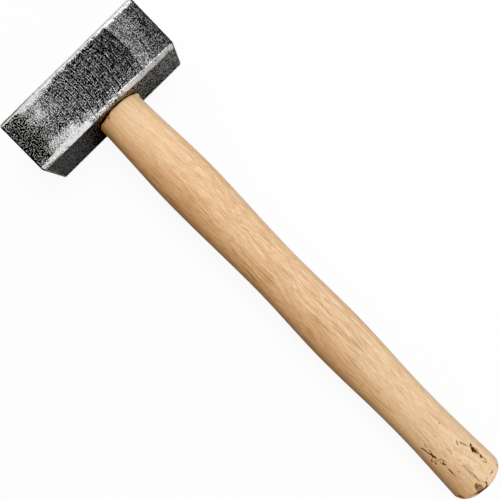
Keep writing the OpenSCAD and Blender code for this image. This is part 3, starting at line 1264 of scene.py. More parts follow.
@dataclass(frozen=True)
class StudioFloor:
    """The plain pale surface that the hammer lies on, lit evenly enough that shadows on it stay faint."""

    name: str = "Studio floor"
    colour: Colour = (0.93, 0.93, 0.93, 1.0)
    roughness: float = 0.9
    glow: Colour = (1.0, 1.0, 1.0, 1.0)
    glow_strength: float = 1.0
    bounce: Colour = (0.40, 0.40, 0.40, 1.0)
    evenness: float = 0.92

    def build(self) -> Material:
        """Builds the material.

        Returns:
            The finished material.
        """
        material, s, surface = new_material(self.name, self.colour)
        surface.inputs["Base Color"].default_value = self.colour
        surface.inputs["Roughness"].default_value = self.roughness
        even = s.node("ShaderNodeEmission", {"Color": self.glow, "Strength": self.glow_strength}).outputs[0]
        seen = s.node("ShaderNodeMixShader", {0: self.evenness, 1: surface.outputs[0], 2: even}).outputs[0]
        dim = s.node("ShaderNodeBsdfDiffuse", {"Color": self.bounce}).outputs[0]
        camera_ray = s.node("ShaderNodeLightPath").outputs["Is Camera Ray"]
        floor = s.node("ShaderNodeMixShader", {0: camera_ray, 1: dim, 2: seen}).outputs[0]
        output = next(node for node in s.tree.nodes if node.type == "OUTPUT_MATERIAL")
        s.send(floor, output, "Surface")
        return material


# The hammer


@dataclass(frozen=True)
class Eye:
    """The flared oval hole through the head, with round ends along Y."""

    long_axis: float = 26.0
    short_axis: float = 18.0
    offset: float = 2.7
    flare_wedged: float = 1.2
    flare_handle: float = 0.5
    waist_depth: float = 20.0
    head_depth: float = 37.0
    sides: int = 288

    @property
    def waist_x(self) -> float:
        """Where the eye is narrowest."""
        return -self.head_depth / 2 + self.waist_depth

    @property
    def half_span(self) -> float:
        """The distance of the round ends' centres from the eye's middle."""
        return (self.long_axis - self.short_axis) / 2

    def radius(self, x: float) -> float:
        """Gives the radius of the round ends at x.

        Args:
            x: The distance along the handle.

        Returns:
            The radius there.
        """
        if x < self.waist_x:
            return self.short_axis / 2 + self.flare_wedged * (self.waist_x - x) / self.waist_depth
        behind = self.head_depth - self.waist_depth
        return self.short_axis / 2 + self.flare_handle * (x - self.waist_x) / behind

    def ring(self, x: float, radius: float, share: float = 1.0) -> Points:
        """Gives one ring of the eye's outline, evenly spaced along it from +Y.

        Args:
            x: The ring's place along the handle.
            radius: The radius of its round ends.
            share: The ring's size as a share of the whole.

        Returns:
            The ring's points.
        """
        span = self.half_span
        quarter = math.pi / 2 * radius
        whole = 4 * (quarter + span)
        walked = np.arange(self.sides) / self.sides * whole
        folded = np.minimum(walked, whole - walked)
        mirrored = np.minimum(folded, whole / 2 - folded)
        angle = np.minimum(mirrored, quarter) / radius
        y = span + radius * np.cos(angle) - np.maximum(mirrored - quarter, 0.0)
        y = np.where(folded > whole / 4, -y, y)
        z = radius * np.sin(angle) * np.where(walked > whole / 2, -1.0, 1.0)
        y, z = self.offset + y * share, AXIS_HEIGHT + z * share
        return np.stack([np.full(self.sides, x), y, z], axis=1)


@dataclass(frozen=True)
class Relief:
    """Unevenness: its depth, the width of its lumps, a level added to its noise, and its seed."""

    depth: float
    size: float
    level: float
    seed: float

    def at(self, points: Points) -> Points:
        """Gives how deep it is at each point, and 0 where the noise and the level come to less than 0."""
        return self.depth * np.maximum(noise_at(points, self.size, self.seed) + self.level, 0.0)

    def swing(self, points: Points) -> Points:
        """Gives how far it goes up or down at each point, without the level."""
        return self.depth * noise_at(points, self.size, self.seed)


@dataclass
class ForgedHead:
    """The head: a square forged bar with ground bevels, worn edges and the eye through it."""

    length: float = 106.0
    depth: float = 37.0
    thickness: float = 37.0
    long_bevel: float = 2.5
    face_bevel: float = 1.2
    corner_cut: float = 3.3
    worn_marks: tuple[float, ...] = (-50.0, -25.0, -5.0, 15.0, 30.0, 50.0)
    worn_across: tuple[float, ...] = (2.2, 3.1, 2.0, 1.7, 1.1, 0.8)
    worn_down: tuple[float, ...] = (1.9, 1.7, 1.9, 2.8, 4.4, 4.8)
    eye: Eye = field(default_factory=Eye)
    eye_rim: float = 0.7
    eye_cutter_reach: float = 4.0
    eye_cutter_rings: int = 60
    bevel_uneven: float = 0.07
    bevel_wave: float = 14.0
    bevel_stretch: Triple = (0.3, 1.0, 0.3)
    bevel_zone: float = 9.0
    most_share: float = 3.0
    edge_zone: Pair = (3.2, 4.5)
    edge_wear: float = 0.4
    edge_passes: int = 2
    crease_degrees: float = 30.0
    waves: Relief = Relief(0.08, 17.0, 1.0, 3.0)
    dents: Relief = Relief(0.05, 4.2, 0.2, 5.0)
    pits: Relief = Relief(0.16, 1.7, -0.15, 9.0)
    nicks: Relief = Relief(0.3, 3.1, -0.34, 12.0)
    step: float = 0.62
    fine_step: float = 0.33
    digits: int = 5
    fine_reach: float = 4.0

    @property
    def half(self) -> Points:
        """Half of the head's size along each axis."""
        return np.array([self.depth, self.length, self.thickness]) / 2

    def build(self, material: Material) -> Piece:
        """Builds the head and dresses it.

        Args:
            material: The head's material.

        Returns:
            The finished head.
        """
        head = self._block().to_object("forged_head")
        points = self._bevel(points_of(head))
        set_points(head, points)
        soften(head, self._near_edges(points) * self.edge_wear, self.edge_passes)
        self._weather(head)
        cut(head, self._eye_cutter(), Cut.TAKE_AWAY)
        shade(head, self.crease_degrees)
        set_attribute(head, "bevel", self._bevel_share(points_of(head)))
        finish_piece(head, "hammer_head", material)
        return head

    def _block(self) -> Surface:
        """Makes the plain block as six fine grids that share their edges.

        Returns:
            The block.
        """
        half = self.half
        marks = [stations(-h, h, self.step, self.fine_step, self.fine_reach) for h in half]
        points, faces, count = [], [], 0
        for axis in range(3):
            u, v = (axis + 1) % 3, (axis + 2) % 3
            grid = np.stack(np.meshgrid(marks[u], marks[v], indexing="ij"), axis=-1)
            for side in (-1, 1):
                flat = np.empty((*grid.shape[:2], 3))
                flat[..., u], flat[..., v], flat[..., axis] = grid[..., 0], grid[..., 1], side * half[axis]
                index = count + np.arange(flat.shape[0] * flat.shape[1]).reshape(flat.shape[:2])
                quads = np.stack([index[:-1, :-1], index[1:, :-1], index[1:, 1:], index[:-1, 1:]], axis=-1)
                quads = quads.reshape(-1, 4)
                faces.append(quads if side > 0 else quads[:, ::-1])
                points.append(flat.reshape(-1, 3))
                count += len(points[-1])
        every = np.concatenate(points)
        rounded = np.round(every, self.digits)
        _, first, same = np.unique(rounded, axis=0, return_index=True, return_inverse=True)
        joined = same.ravel()[np.concatenate(faces)]
        return Surface(every[first] + (0.0, 0.0, half[2]), [tuple(face) for face in joined.tolist()])

    def _legs(self, points: Points, first: int, second: int, worn: bool) -> Points:
        """Gives how far one bevel reaches into the two faces that meet there, uneven as ground by hand.

        Args:
            points: The points, measured from the head's middle.
            first: The axis across one of the faces.
            second: The axis across the other face.
            worn: Whether it is the worn bevel between the upper cheek and the handle's side.

        Returns:
            The reach across the first axis and the second, one row for each point.
        """
        if worn:
            legs = np.stack([np.interp(points[:, 1], self.worn_marks, reach)
                             for reach in (self.worn_across, self.worn_down)], axis=1)
        else:
            reach = self.long_bevel if {first, second} == {0, 2} else self.face_bevel
            legs = np.full((len(points), 2), reach)
        uneven = noise_at(points * self.bevel_stretch, self.bevel_wave, first + 2.0 * second)
        return legs * (1 + self.bevel_uneven * uneven)[:, None]

    def _within(self, place: Points, axes: tuple[int, int],
                signs: tuple[int, int]) -> tuple[Points, Points, Points]:
        """Finds the points near one edge, and how they lie to its bevel.

        Args:
            place: The points, measured from the head's middle.
            axes: The axes across the two faces that meet there.
            signs: Which side of the middle the two faces are on.

        Returns:
            The numbers of the points near the edge, how far each is from the edge as a share of the bevel
            (1 on the bevel itself and less outside it), and the bevel's reach across the two faces.
        """
        away = self.half[list(axes)] - place[:, axes] * signs
        near = np.flatnonzero(away.sum(axis=1) < self.bevel_zone)
        legs = self._legs(place[near], *axes, worn=axes == (0, 2) and signs == (1, 1))
        return near, (away[near] / legs).sum(axis=1), legs

    def _bevel(self, points: Points) -> Points:
        """Presses the points near each edge and corner onto its bevel.

        Args:
            points: The block's points.

        Returns:
            The bevelled points.
        """
        half = self.half
        place = points - (0.0, 0.0, half[2])
        for axes in ((0, 2), (0, 1), (1, 2)):
            for signs in ((-1, -1), (-1, 1), (1, -1), (1, 1)):
                near, share, legs = self._within(place, axes, signs)
                over = np.maximum(1 - share, 0.0) / (1 / legs**2).sum(axis=1)
                for axis, sign, leg in zip(axes, signs, legs.T):
                    place[near, axis] -= sign * over / leg
        corner = np.abs(place).sum(axis=1) - (half.sum() - self.corner_cut)
        place -= np.sign(place) * np.maximum(corner, 0.0)[:, None] / 3
        return place + (0.0, 0.0, half[2])

    def _bevel_share(self, points: Points) -> Points:
        """Gives how far each point is from the long edges: 1 on their bevels, and more on the flats.

        Args:
            points: The head's points.

        Returns:
            The share at each point, at most most_share.
        """
        place, least = points - (0.0, 0.0, self.half[2]), np.full(len(points), self.most_share)
        for signs in ((-1, -1), (-1, 1), (1, -1), (1, 1)):
            near, share, _ = self._within(place, (0, 2), signs)
            least[near] = np.minimum(least[near], share)
        return least

    def _near_edges(self, points: Points) -> Points:
        """Gives 1 near the head's edges and 0 on its flats."""
        inside = np.sort(self.half - np.abs(points - (0.0, 0.0, self.half[2])), axis=1)[:, 1]
        return 1.0 - smooth_step(*self.edge_zone, inside)

    def _weather(self, head: Piece) -> None:
        """Gives the surface its forged unevenness, pits and worn nicks, all of them inwards.

        Args:
            head: The head to weather.
        """
        points, normals = points_of(head), normals_of(head)
        edges = self._near_edges(points)
        inward = self.waves.at(points) * (1 - edges) + self.dents.at(points) + self.pits.at(points)
        inward += self.nicks.at(points) * edges
        set_points(head, points - normals * inward[:, None])

    def _eye_cutter(self) -> Piece:
        """Makes the solid that cuts the eye and eases its two rims.

        Returns:
            The solid.
        """
        eye, out = self.eye, self.eye_cutter_reach
        low, high = -self.depth / 2, self.depth / 2
        rings = []
        for x in np.linspace(low - out, high + out, self.eye_cutter_rings):
            inside = min(max(x, low), high)
            past_rim = max(low + self.eye_rim - x, x - (high - self.eye_rim), 0.0)
            rings.append(eye.ring(x, eye.radius(inside) + past_rim))
        return loft(np.array(rings)).to_object("eye_cutter")


class FlawKind(Enum):
    """How a mark in the wood was made, and how deep it lies in millimetres."""

    SCRATCH = 0.25
    PIT = 0.55
    SPLIT = 0.4
    BARK = 0.5


@dataclass(frozen=True)
class Flaw:
    """A dark mark in the handle's upper side: a path in X and in Y from the axis, and its half width."""

    kind: FlawKind
    path: tuple[Pair, ...]
    half_width: float
    darkness: float = 1.0


@dataclass(frozen=True)
class Knot:
    """The half-round knot at the butt: its centre in X and in Y from the axis, its size and figure."""

    centre: Pair = (338.5, -2.75)
    half_size: Pair = (5.3, 2.25)
    zone_start: float = 325.0
    uneven: Relief = Relief(0.08, 1.5, 0.0, 7.0)
    core: float = 0.86
    inside: Relief = Relief(0.3, 1.1, 0.0, 8.0)
    outline: Pair = (0.75, 0.95)
    border: Pair = (0.95, 1.08)
    depth: float = 0.25

    def share(self, points: Points, axis_y: float) -> Points:
        """Gives 0 round the knot, more inside it and 1 at its dark outline.

        Args:
            points: The handle's points.
            axis_y: The handle's axis in Y.

        Returns:
            The knot's share at each point.
        """
        share = np.zeros(len(points))
        near = np.flatnonzero((points[:, 0] > self.zone_start) & (points[:, 2] > AXIS_HEIGHT))
        flat = (points[near][:, :2] - (0.0, axis_y) - self.centre) / self.half_size
        out = np.linalg.norm(flat, axis=1) + self.uneven.swing(points[near])
        figure = np.maximum(self.core + self.inside.swing(points[near]), smooth_step(*self.outline, out))
        share[near] = (1 - smooth_step(*self.border, out)) * np.clip(figure, 0.0, 1.0)
        return share


@dataclass(frozen=True)
class ShoulderWear:
    """How the shoulder's upper edge is broken where it meets the head: a step, a notch, splinters and a burr.

    Places in Y and Z are measured from the handle's axis, and those in X from the shoulder.
    """

    step_y: float = -4.7
    step_softness: float = 0.4
    step_reach: float = 0.9
    step_end_y: Pair = (-13.0, -9.0)
    notch_y: float = -6.8
    notch_half_width: float = 0.7
    notch_depth: float = 2.8
    splinters: Relief = Relief(0.25, 2.2, 0.0, 4.0)
    upper_z: Pair = (6.0, 9.0)
    edge_x: Pair = (0.4, 3.2)
    burr_reach: float = 1.1
    burr_y: Pair = (13.6, 14.4)
    burr_z: Pair = (1.0, 4.0)
    burr_rise_x: Pair = (0.1, 0.9)
    burr_fall_x: Pair = (2.0, 3.4)

    def wear(self, points: Points, shoulder_x: float, axis_y: float) -> None:
        """Breaks the shoulder's edge, and raises the burr beside it.

        Args:
            points: The handle's points, which it moves.
            shoulder_x: Where the shoulder meets the head.
            axis_y: The handle's axis in Y.
        """
        beyond, y, z = points[:, 0] - shoulder_x, points[:, 1] - axis_y, points[:, 2] - AXIS_HEIGHT
        at_edge = (1 - smooth_step(*self.edge_x, beyond)) * (beyond > -NEAR)
        splinters = self.splinters.at(points[:, 1:] @ np.eye(2, 3))
        notch = self.notch_depth * np.maximum(1 - np.abs(y - self.notch_y) / self.notch_half_width, 0.0)
        step = smooth_step(self.step_y - self.step_softness, self.step_y + self.step_softness, y)
        step = self.step_reach * (1 - step) * smooth_step(*self.step_end_y, y)
        points[:, 0] += (notch + step + splinters) * smooth_step(*self.upper_z, z) * at_edge
        beyond = points[:, 0] - shoulder_x
        burr = smooth_step(*self.burr_y, y) * smooth_step(*self.burr_z, z)
        burr *= smooth_step(*self.burr_rise_x, beyond) * (1 - smooth_step(*self.burr_fall_x, beyond))
        points[:, 1] += self.burr_reach * burr


@dataclass
class Handle:
    """The handle: the tenon in the eye, the shoulder at the head and the shaped grip with its round butt."""

    head_depth: float = 37.0
    eye: Eye = field(default_factory=Eye)
    tenon_gap: float = 0.15
    tenon_proud: float = 1.0
    shoulder_gap: float = 0.1
    grip_length: float = 326.0
    grip_oval: float = 0.79
    grip_square: float = 2.2
    shoulder_width: float = 31.2
    shoulder_slope: float = 0.3
    belly_width: float = 35.7
    belly_at: float = 63.0
    waist_width: float = 32.7
    waist_at: float = 136.0
    palm_width: float = 35.5
    palm_from_butt: float = 133.0
    neck_width: float = 32.2
    neck_from_butt: float = 64.0
    butt_width: float = 35.8
    butt_slope: float = 1.2
    butt_round: float = 6.5
    shoulder_round: float = 0.7
    shoulder_wear: ShoulderWear = ShoulderWear()
    sanding: Relief = Relief(0.16, 13.0, 0.0, 1.0)
    sanding_stretch: Triple = (0.25, 1.0, 1.0)
    sanded_from_shoulder: Pair = (2.0, 14.0)
    sanded_from_butt: Pair = (5.0, 0.5)
    core_shares: Pair = (0.03, 0.94)
    core_rings: int = 14
    tenon_chamfer: float = 0.35
    tenon_rings: int = 40
    shoulder_rings: int = 6
    plain_stretches: tuple[tuple[float, float, int], ...] = ((1.0, 4.0, 8), (5.0, 270.0, 104))
    marked_start: float = 270.4
    marked_rings: int = 122
    butt_rings: int = 46
    last_turn_degrees: float = 89.5
    crease_degrees: float = 40.0
    bow_marks: tuple[float, ...] = (18.0, 45.0, 80.0, 230.0, 290.0, 345.0)
    bow: tuple[float, ...] = (-0.35, -0.3, 0.0, 0.05, 0.2, 0.3)
    flaws: tuple[Flaw, ...] = (
        Flaw(FlawKind.SCRATCH,
             ((296.4, -11.2), (298.3, -10.6), (300.8, -10.3), (303.0, -10.0), (306.4, -9.0)), 0.43),
        Flaw(FlawKind.SCRATCH, ((295.0, -8.4), (297.6, -8.5)), 0.32, 0.6),
        Flaw(FlawKind.SCRATCH, ((299.6, -8.6), (301.9, -8.8), (303.6, -9.4), (305.4, -10.6)), 0.34, 0.85),
        Flaw(FlawKind.PIT, ((302.6, -9.7), (304.4, -9.5), (306.0, -9.1)), 0.68),
        Flaw(FlawKind.SCRATCH, ((307.3, -9.8), (309.2, -8.4)), 0.3, 0.55),
        Flaw(FlawKind.SCRATCH, ((306.0, -11.8), (307.6, -12.2)), 0.41, 0.8),
        Flaw(FlawKind.SCRATCH, ((308.1, -11.1), (310.0, -11.6)), 0.41, 0.8),
        Flaw(FlawKind.SCRATCH, ((310.3, -9.0), (311.2, -8.4), (312.5, -8.2), (313.3, -7.4)), 0.41, 0.9),
        Flaw(FlawKind.PIT, ((311.7, -8.4), (312.5, -8.2)), 0.57),
        Flaw(FlawKind.SCRATCH, ((308.1, -7.9), (308.9, -7.2), (310.5, -6.8), (311.2, -7.6)), 0.36, 0.8),
        Flaw(FlawKind.SCRATCH, ((315.5, -8.1), (322.4, -8.2)), 0.3, 0.7),
        Flaw(FlawKind.PIT, ((317.2, -8.25), (320.2, -8.25)), 0.51),
        Flaw(FlawKind.PIT, ((320.9, -5.1), (321.3, -4.7)), 0.68, 0.5),
        Flaw(FlawKind.SPLIT,
             ((319.6, -0.1), (322.2, -0.45), (326.2, -0.15), (329.3, 0.15), (333.9, 0.5)), 0.31, 0.6),
        Flaw(FlawKind.SPLIT, ((326.0, -0.15), (329.3, 0.15), (333.4, 0.45)), 0.27, 0.8),
        Flaw(FlawKind.SPLIT, ((321.1, 0.95), (326.2, 0.7), (330.4, 0.75)), 0.27, 0.4),
        Flaw(FlawKind.SPLIT, ((321.1, 2.2), (324.2, 2.0), (326.4, 2.3)), 0.27, 0.45),
        Flaw(FlawKind.SCRATCH, ((319.4, -0.6), (320.6, 0.4)), 0.32, 0.5),
        Flaw(FlawKind.PIT, ((315.9, 12.0), (318.0, 11.3), (319.3, 10.9)), 0.63),
        Flaw(FlawKind.PIT, ((318.2, 11.2), (319.6, 10.9), (321.0, 11.3)), 1.35),
        Flaw(FlawKind.PIT, ((321.8, 11.5), (323.2, 11.9)), 0.91, 0.6),
        Flaw(FlawKind.SCRATCH, ((320.4, 12.4), (321.6, 13.0)), 0.48, 0.6),
        Flaw(FlawKind.PIT, ((325.1, 11.65), (326.2, 11.6)), 0.78),
        Flaw(FlawKind.SCRATCH, ((326.4, 12.0), (329.6, 12.6)), 0.3, 0.6),
        Flaw(FlawKind.SCRATCH, ((328.1, 10.5), (330.2, 11.4)), 0.46, 0.6),
        Flaw(FlawKind.SCRATCH, ((306.8, 7.4), (309.0, 6.3)), 0.41, 0.75),
        Flaw(FlawKind.SCRATCH, ((309.4, 8.3), (311.0, 8.9), (313.5, 9.7)), 0.46, 0.7),
        Flaw(FlawKind.SCRATCH, ((313.6, 10.0), (316.0, 10.6)), 0.34, 0.35),
        Flaw(FlawKind.SCRATCH, ((305.8, -0.1), (307.9, 0.5), (310.2, -0.4)), 0.57, 0.28),
        Flaw(FlawKind.SCRATCH, ((315.3, -0.1), (316.6, 1.1)), 0.48, 0.28),
        Flaw(FlawKind.SCRATCH, ((308.7, 2.5), (311.0, 3.0)), 0.41, 0.28),
        Flaw(FlawKind.PIT, ((315.2, 7.6), (315.5, 7.7)), 0.41, 0.45),
        Flaw(FlawKind.PIT, ((291.5, 7.3), (291.9, 7.35)), 0.48, 0.6),
        Flaw(FlawKind.PIT, ((308.3, -4.1), (308.6, -4.1)), 0.39, 0.4),
        Flaw(FlawKind.BARK, ((336.6, -15.0), (338.0, -14.5), (339.3, -13.8)), 0.63, 0.9),
        Flaw(FlawKind.SPLIT, ((337.4, -10.4), (338.2, -8.6), (338.4, -7.0)), 0.34, 0.45),
        Flaw(FlawKind.BARK, ((338.5, -6.8), (339.0, -5.9)), 0.68),
        Flaw(FlawKind.BARK, ((339.2, -5.2), (340.2, -3.0), (340.3, -1.0), (340.0, 1.5)), 1.25),
        Flaw(FlawKind.BARK, ((337.0, 2.9), (338.4, 2.2)), 0.63, 0.9),
        Flaw(FlawKind.SPLIT, ((334.6, 0.9), (337.0, 2.5)), 0.3, 0.4),
        Flaw(FlawKind.PIT, ((335.6, 4.4), (336.0, 4.6)), 0.46, 0.5),
        Flaw(FlawKind.BARK, ((336.2, 8.9), (336.4, 10.7)), 0.48, 0.7),
        Flaw(FlawKind.BARK, ((338.4, 15.2), (339.0, 14.2)), 0.48, 0.75),
    )
    flaw_zone_start: float = 285.0
    flaw_ragged: Relief = Relief(0.5, 0.9, 0.0, 6.0)
    flaw_border: Pair = (0.55, 1.15)
    knot: Knot = Knot()

    @property
    def tenon_end(self) -> float:
        """Where the tenon ends, past the wedged mouth."""
        return -self.head_depth / 2 - self.tenon_proud

    @property
    def shoulder_x(self) -> float:
        """Where the shoulder meets the head."""
        return self.head_depth / 2 + self.shoulder_gap

    @property
    def butt_x(self) -> float:
        """Where the butt ends."""
        return self.shoulder_x + self.grip_length

    def width(self, along: float) -> float:
        """Gives the grip's width.

        Args:
            along: The distance from the shoulder.

        Returns:
            The width there.
        """
        palm_at = self.grip_length - self.palm_from_butt
        neck_at = self.grip_length - self.neck_from_butt
        flare_at = self.grip_length - self.butt_round
        runs = (
            (0.0, self.shoulder_width, self.belly_at, self.belly_width, self.shoulder_slope, 0.0),
            (self.belly_at, self.belly_width, self.waist_at, self.waist_width, 0.0, 0.0),
            (self.waist_at, self.waist_width, palm_at, self.palm_width, 0.0, 0.0),
            (palm_at, self.palm_width, neck_at, self.neck_width, 0.0, 0.0),
            (neck_at, self.neck_width, flare_at, self.butt_width, 0.0, self.butt_slope),
        )
        for start, first, end, last, slope_start, slope_end in runs:
            if along < end:
                return float(eased(first, last, (along - start) / (end - start), slope_start, slope_end))
        return self.butt_width

    def _grip_ring(self, x: float, along: float, share: float = 1.0, inset: float = 0.0) -> Points:
        """Gives one oval ring of the grip, squarer than an ellipse.

        Args:
            x: The ring's place.
            along: The distance from the shoulder that sets its width.
            share: Its size as a share of the whole.
            inset: How far it is drawn in.

        Returns:
            The ring's points, from +Y.
        """
        turn = np.arange(self.eye.sides) / self.eye.sides * 2 * math.pi
        power = 2 / self.grip_square
        half = self.width(along) / 2
        across = (half * share - inset) * np.sign(np.cos(turn)) * np.abs(np.cos(turn)) ** power
        up = (half * self.grip_oval * share - inset) * np.sign(np.sin(turn)) * np.abs(np.sin(turn)) ** power
        return np.stack([np.full(len(turn), x), self.eye.offset + across, AXIS_HEIGHT + up], axis=1)

    def _rings(self) -> Points:
        """Gives every ring of the handle, from the tenon's end to the butt.

        Returns:
            The rings.
        """
        eye, gap, end = self.eye, self.tenon_gap, self.tenon_end
        mouth = -self.head_depth / 2
        rings = [eye.ring(end, eye.radius(mouth) - gap, share)
                 for share in np.linspace(*self.core_shares, self.core_rings)]
        in_eye = np.linspace(mouth, self.shoulder_x, self.tenon_rings)
        for x in (end, end + self.tenon_chamfer, *in_eye):
            chamfer = max(end + self.tenon_chamfer - x, 0.0)
            rings.append(eye.ring(x, eye.radius(max(x, mouth)) - gap - chamfer))
        for turn in np.linspace(0, math.pi / 2, self.shoulder_rings):
            x = self.shoulder_x + self.shoulder_round * (1 - math.cos(turn))
            rings.append(self._grip_ring(x, 0.0, inset=self.shoulder_round * (1 - math.sin(turn))))
        marked = (self.marked_start, self.grip_length - self.butt_round, self.marked_rings)
        marks = np.concatenate([np.linspace(*stretch) for stretch in (*self.plain_stretches, marked)])
        rings += [self._grip_ring(self.shoulder_x + along, along) for along in marks]
        last = math.radians(self.last_turn_degrees)
        for turn in np.linspace(0, last, self.butt_rings)[1:]:
            x = self.butt_x - self.butt_round * (1 - math.sin(turn) / math.sin(last))
            rings.append(self._grip_ring(x, self.grip_length, share=math.cos(turn)))
        return np.array(rings)

    def build(self, material: Material,
              cutters: Callable[[], list[Piece]]) -> Piece:
        """Builds the handle and dresses it.

        Args:
            material: The handle's material.
            cutters: Makes the solids that cut the wedges' slots in the tenon.

        Returns:
            The finished handle.
        """
        handle = loft(self._rings()).to_object("hardwood_handle")
        self._shape_by_hand(handle)
        self._mark(handle)
        for cutter in cutters():
            cut(handle, cutter, Cut.TAKE_AWAY)
        shade(handle, self.crease_degrees)
        self._store_marks(handle)
        finish_piece(handle, "handle", material)
        return handle

    def _shape_by_hand(self, handle: Piece) -> None:
        """Gives the grip the slight unevenness of sanding, and breaks the shoulder's edge.

        Args:
            handle: The handle to shape.
        """
        points, normals = points_of(handle), normals_of(handle)
        on_grip = smooth_step(*(self.shoulder_x + reach for reach in self.sanded_from_shoulder), points[:, 0])
        on_grip *= 1 - smooth_step(*(self.butt_x - reach for reach in self.sanded_from_butt), points[:, 0])
        uneven = self.sanding.swing(points * self.sanding_stretch) * on_grip
        points = points + normals * uneven[:, None]
        self.shoulder_wear.wear(points, self.shoulder_x, self.eye.offset)
        bow = np.interp(points[:, 0], self.bow_marks, self.bow)
        points[:, 1] += bow * (points[:, 0] > self.shoulder_x - NEAR)
        set_points(handle, points)

    def _dark(self, points: Points) -> tuple[Points, Points]:
        """Finds how dark and how deep the flaws make each point.

        Args:
            points: The handle's points.

        Returns:
            The darkness and the depth at each point.
        """
        dark, deep = np.zeros(len(points)), np.zeros(len(points))
        near = np.flatnonzero((points[:, 0] > self.flaw_zone_start) & (points[:, 2] > AXIS_HEIGHT))
        flat = points[near][:, :2] - (0.0, self.eye.offset)
        ragged = self.flaw_ragged.swing(points[near])
        for flaw in self.flaws:
            share = (distance_to_path(flat, flaw.path) / flaw.half_width) + ragged
            cover = 1 - smooth_step(*self.flaw_border, share)
            dark[near] = np.maximum(dark[near], cover * flaw.darkness)
            deep[near] = np.maximum(deep[near], cover * flaw.kind.value * flaw.darkness)
        return dark, deep

    def _mark(self, handle: Piece) -> None:
        """Sinks the flaws and the knot into the wood.

        Args:
            handle: The handle to mark.
        """
        points, normals = points_of(handle), normals_of(handle)
        _, deep = self._dark(points)
        deep = np.maximum(deep, self.knot.depth * self.knot.share(points, self.eye.offset))
        set_points(handle, points - normals * deep[:, None])

    def _store_marks(self, handle: Piece) -> None:
        """Stores where the flaws and the knot are, for the material.

        Args:
            handle: The handle that has them.
        """
        points = points_of(handle)
        set_attribute(handle, "flaw", self._dark(points)[0])
        set_attribute(handle, "knot", self.knot.share(points, self.eye.offset))


class Side(Enum):
    """Which half of the eye a steel wedge is in."""

    LEFT = -1
    RIGHT = 1


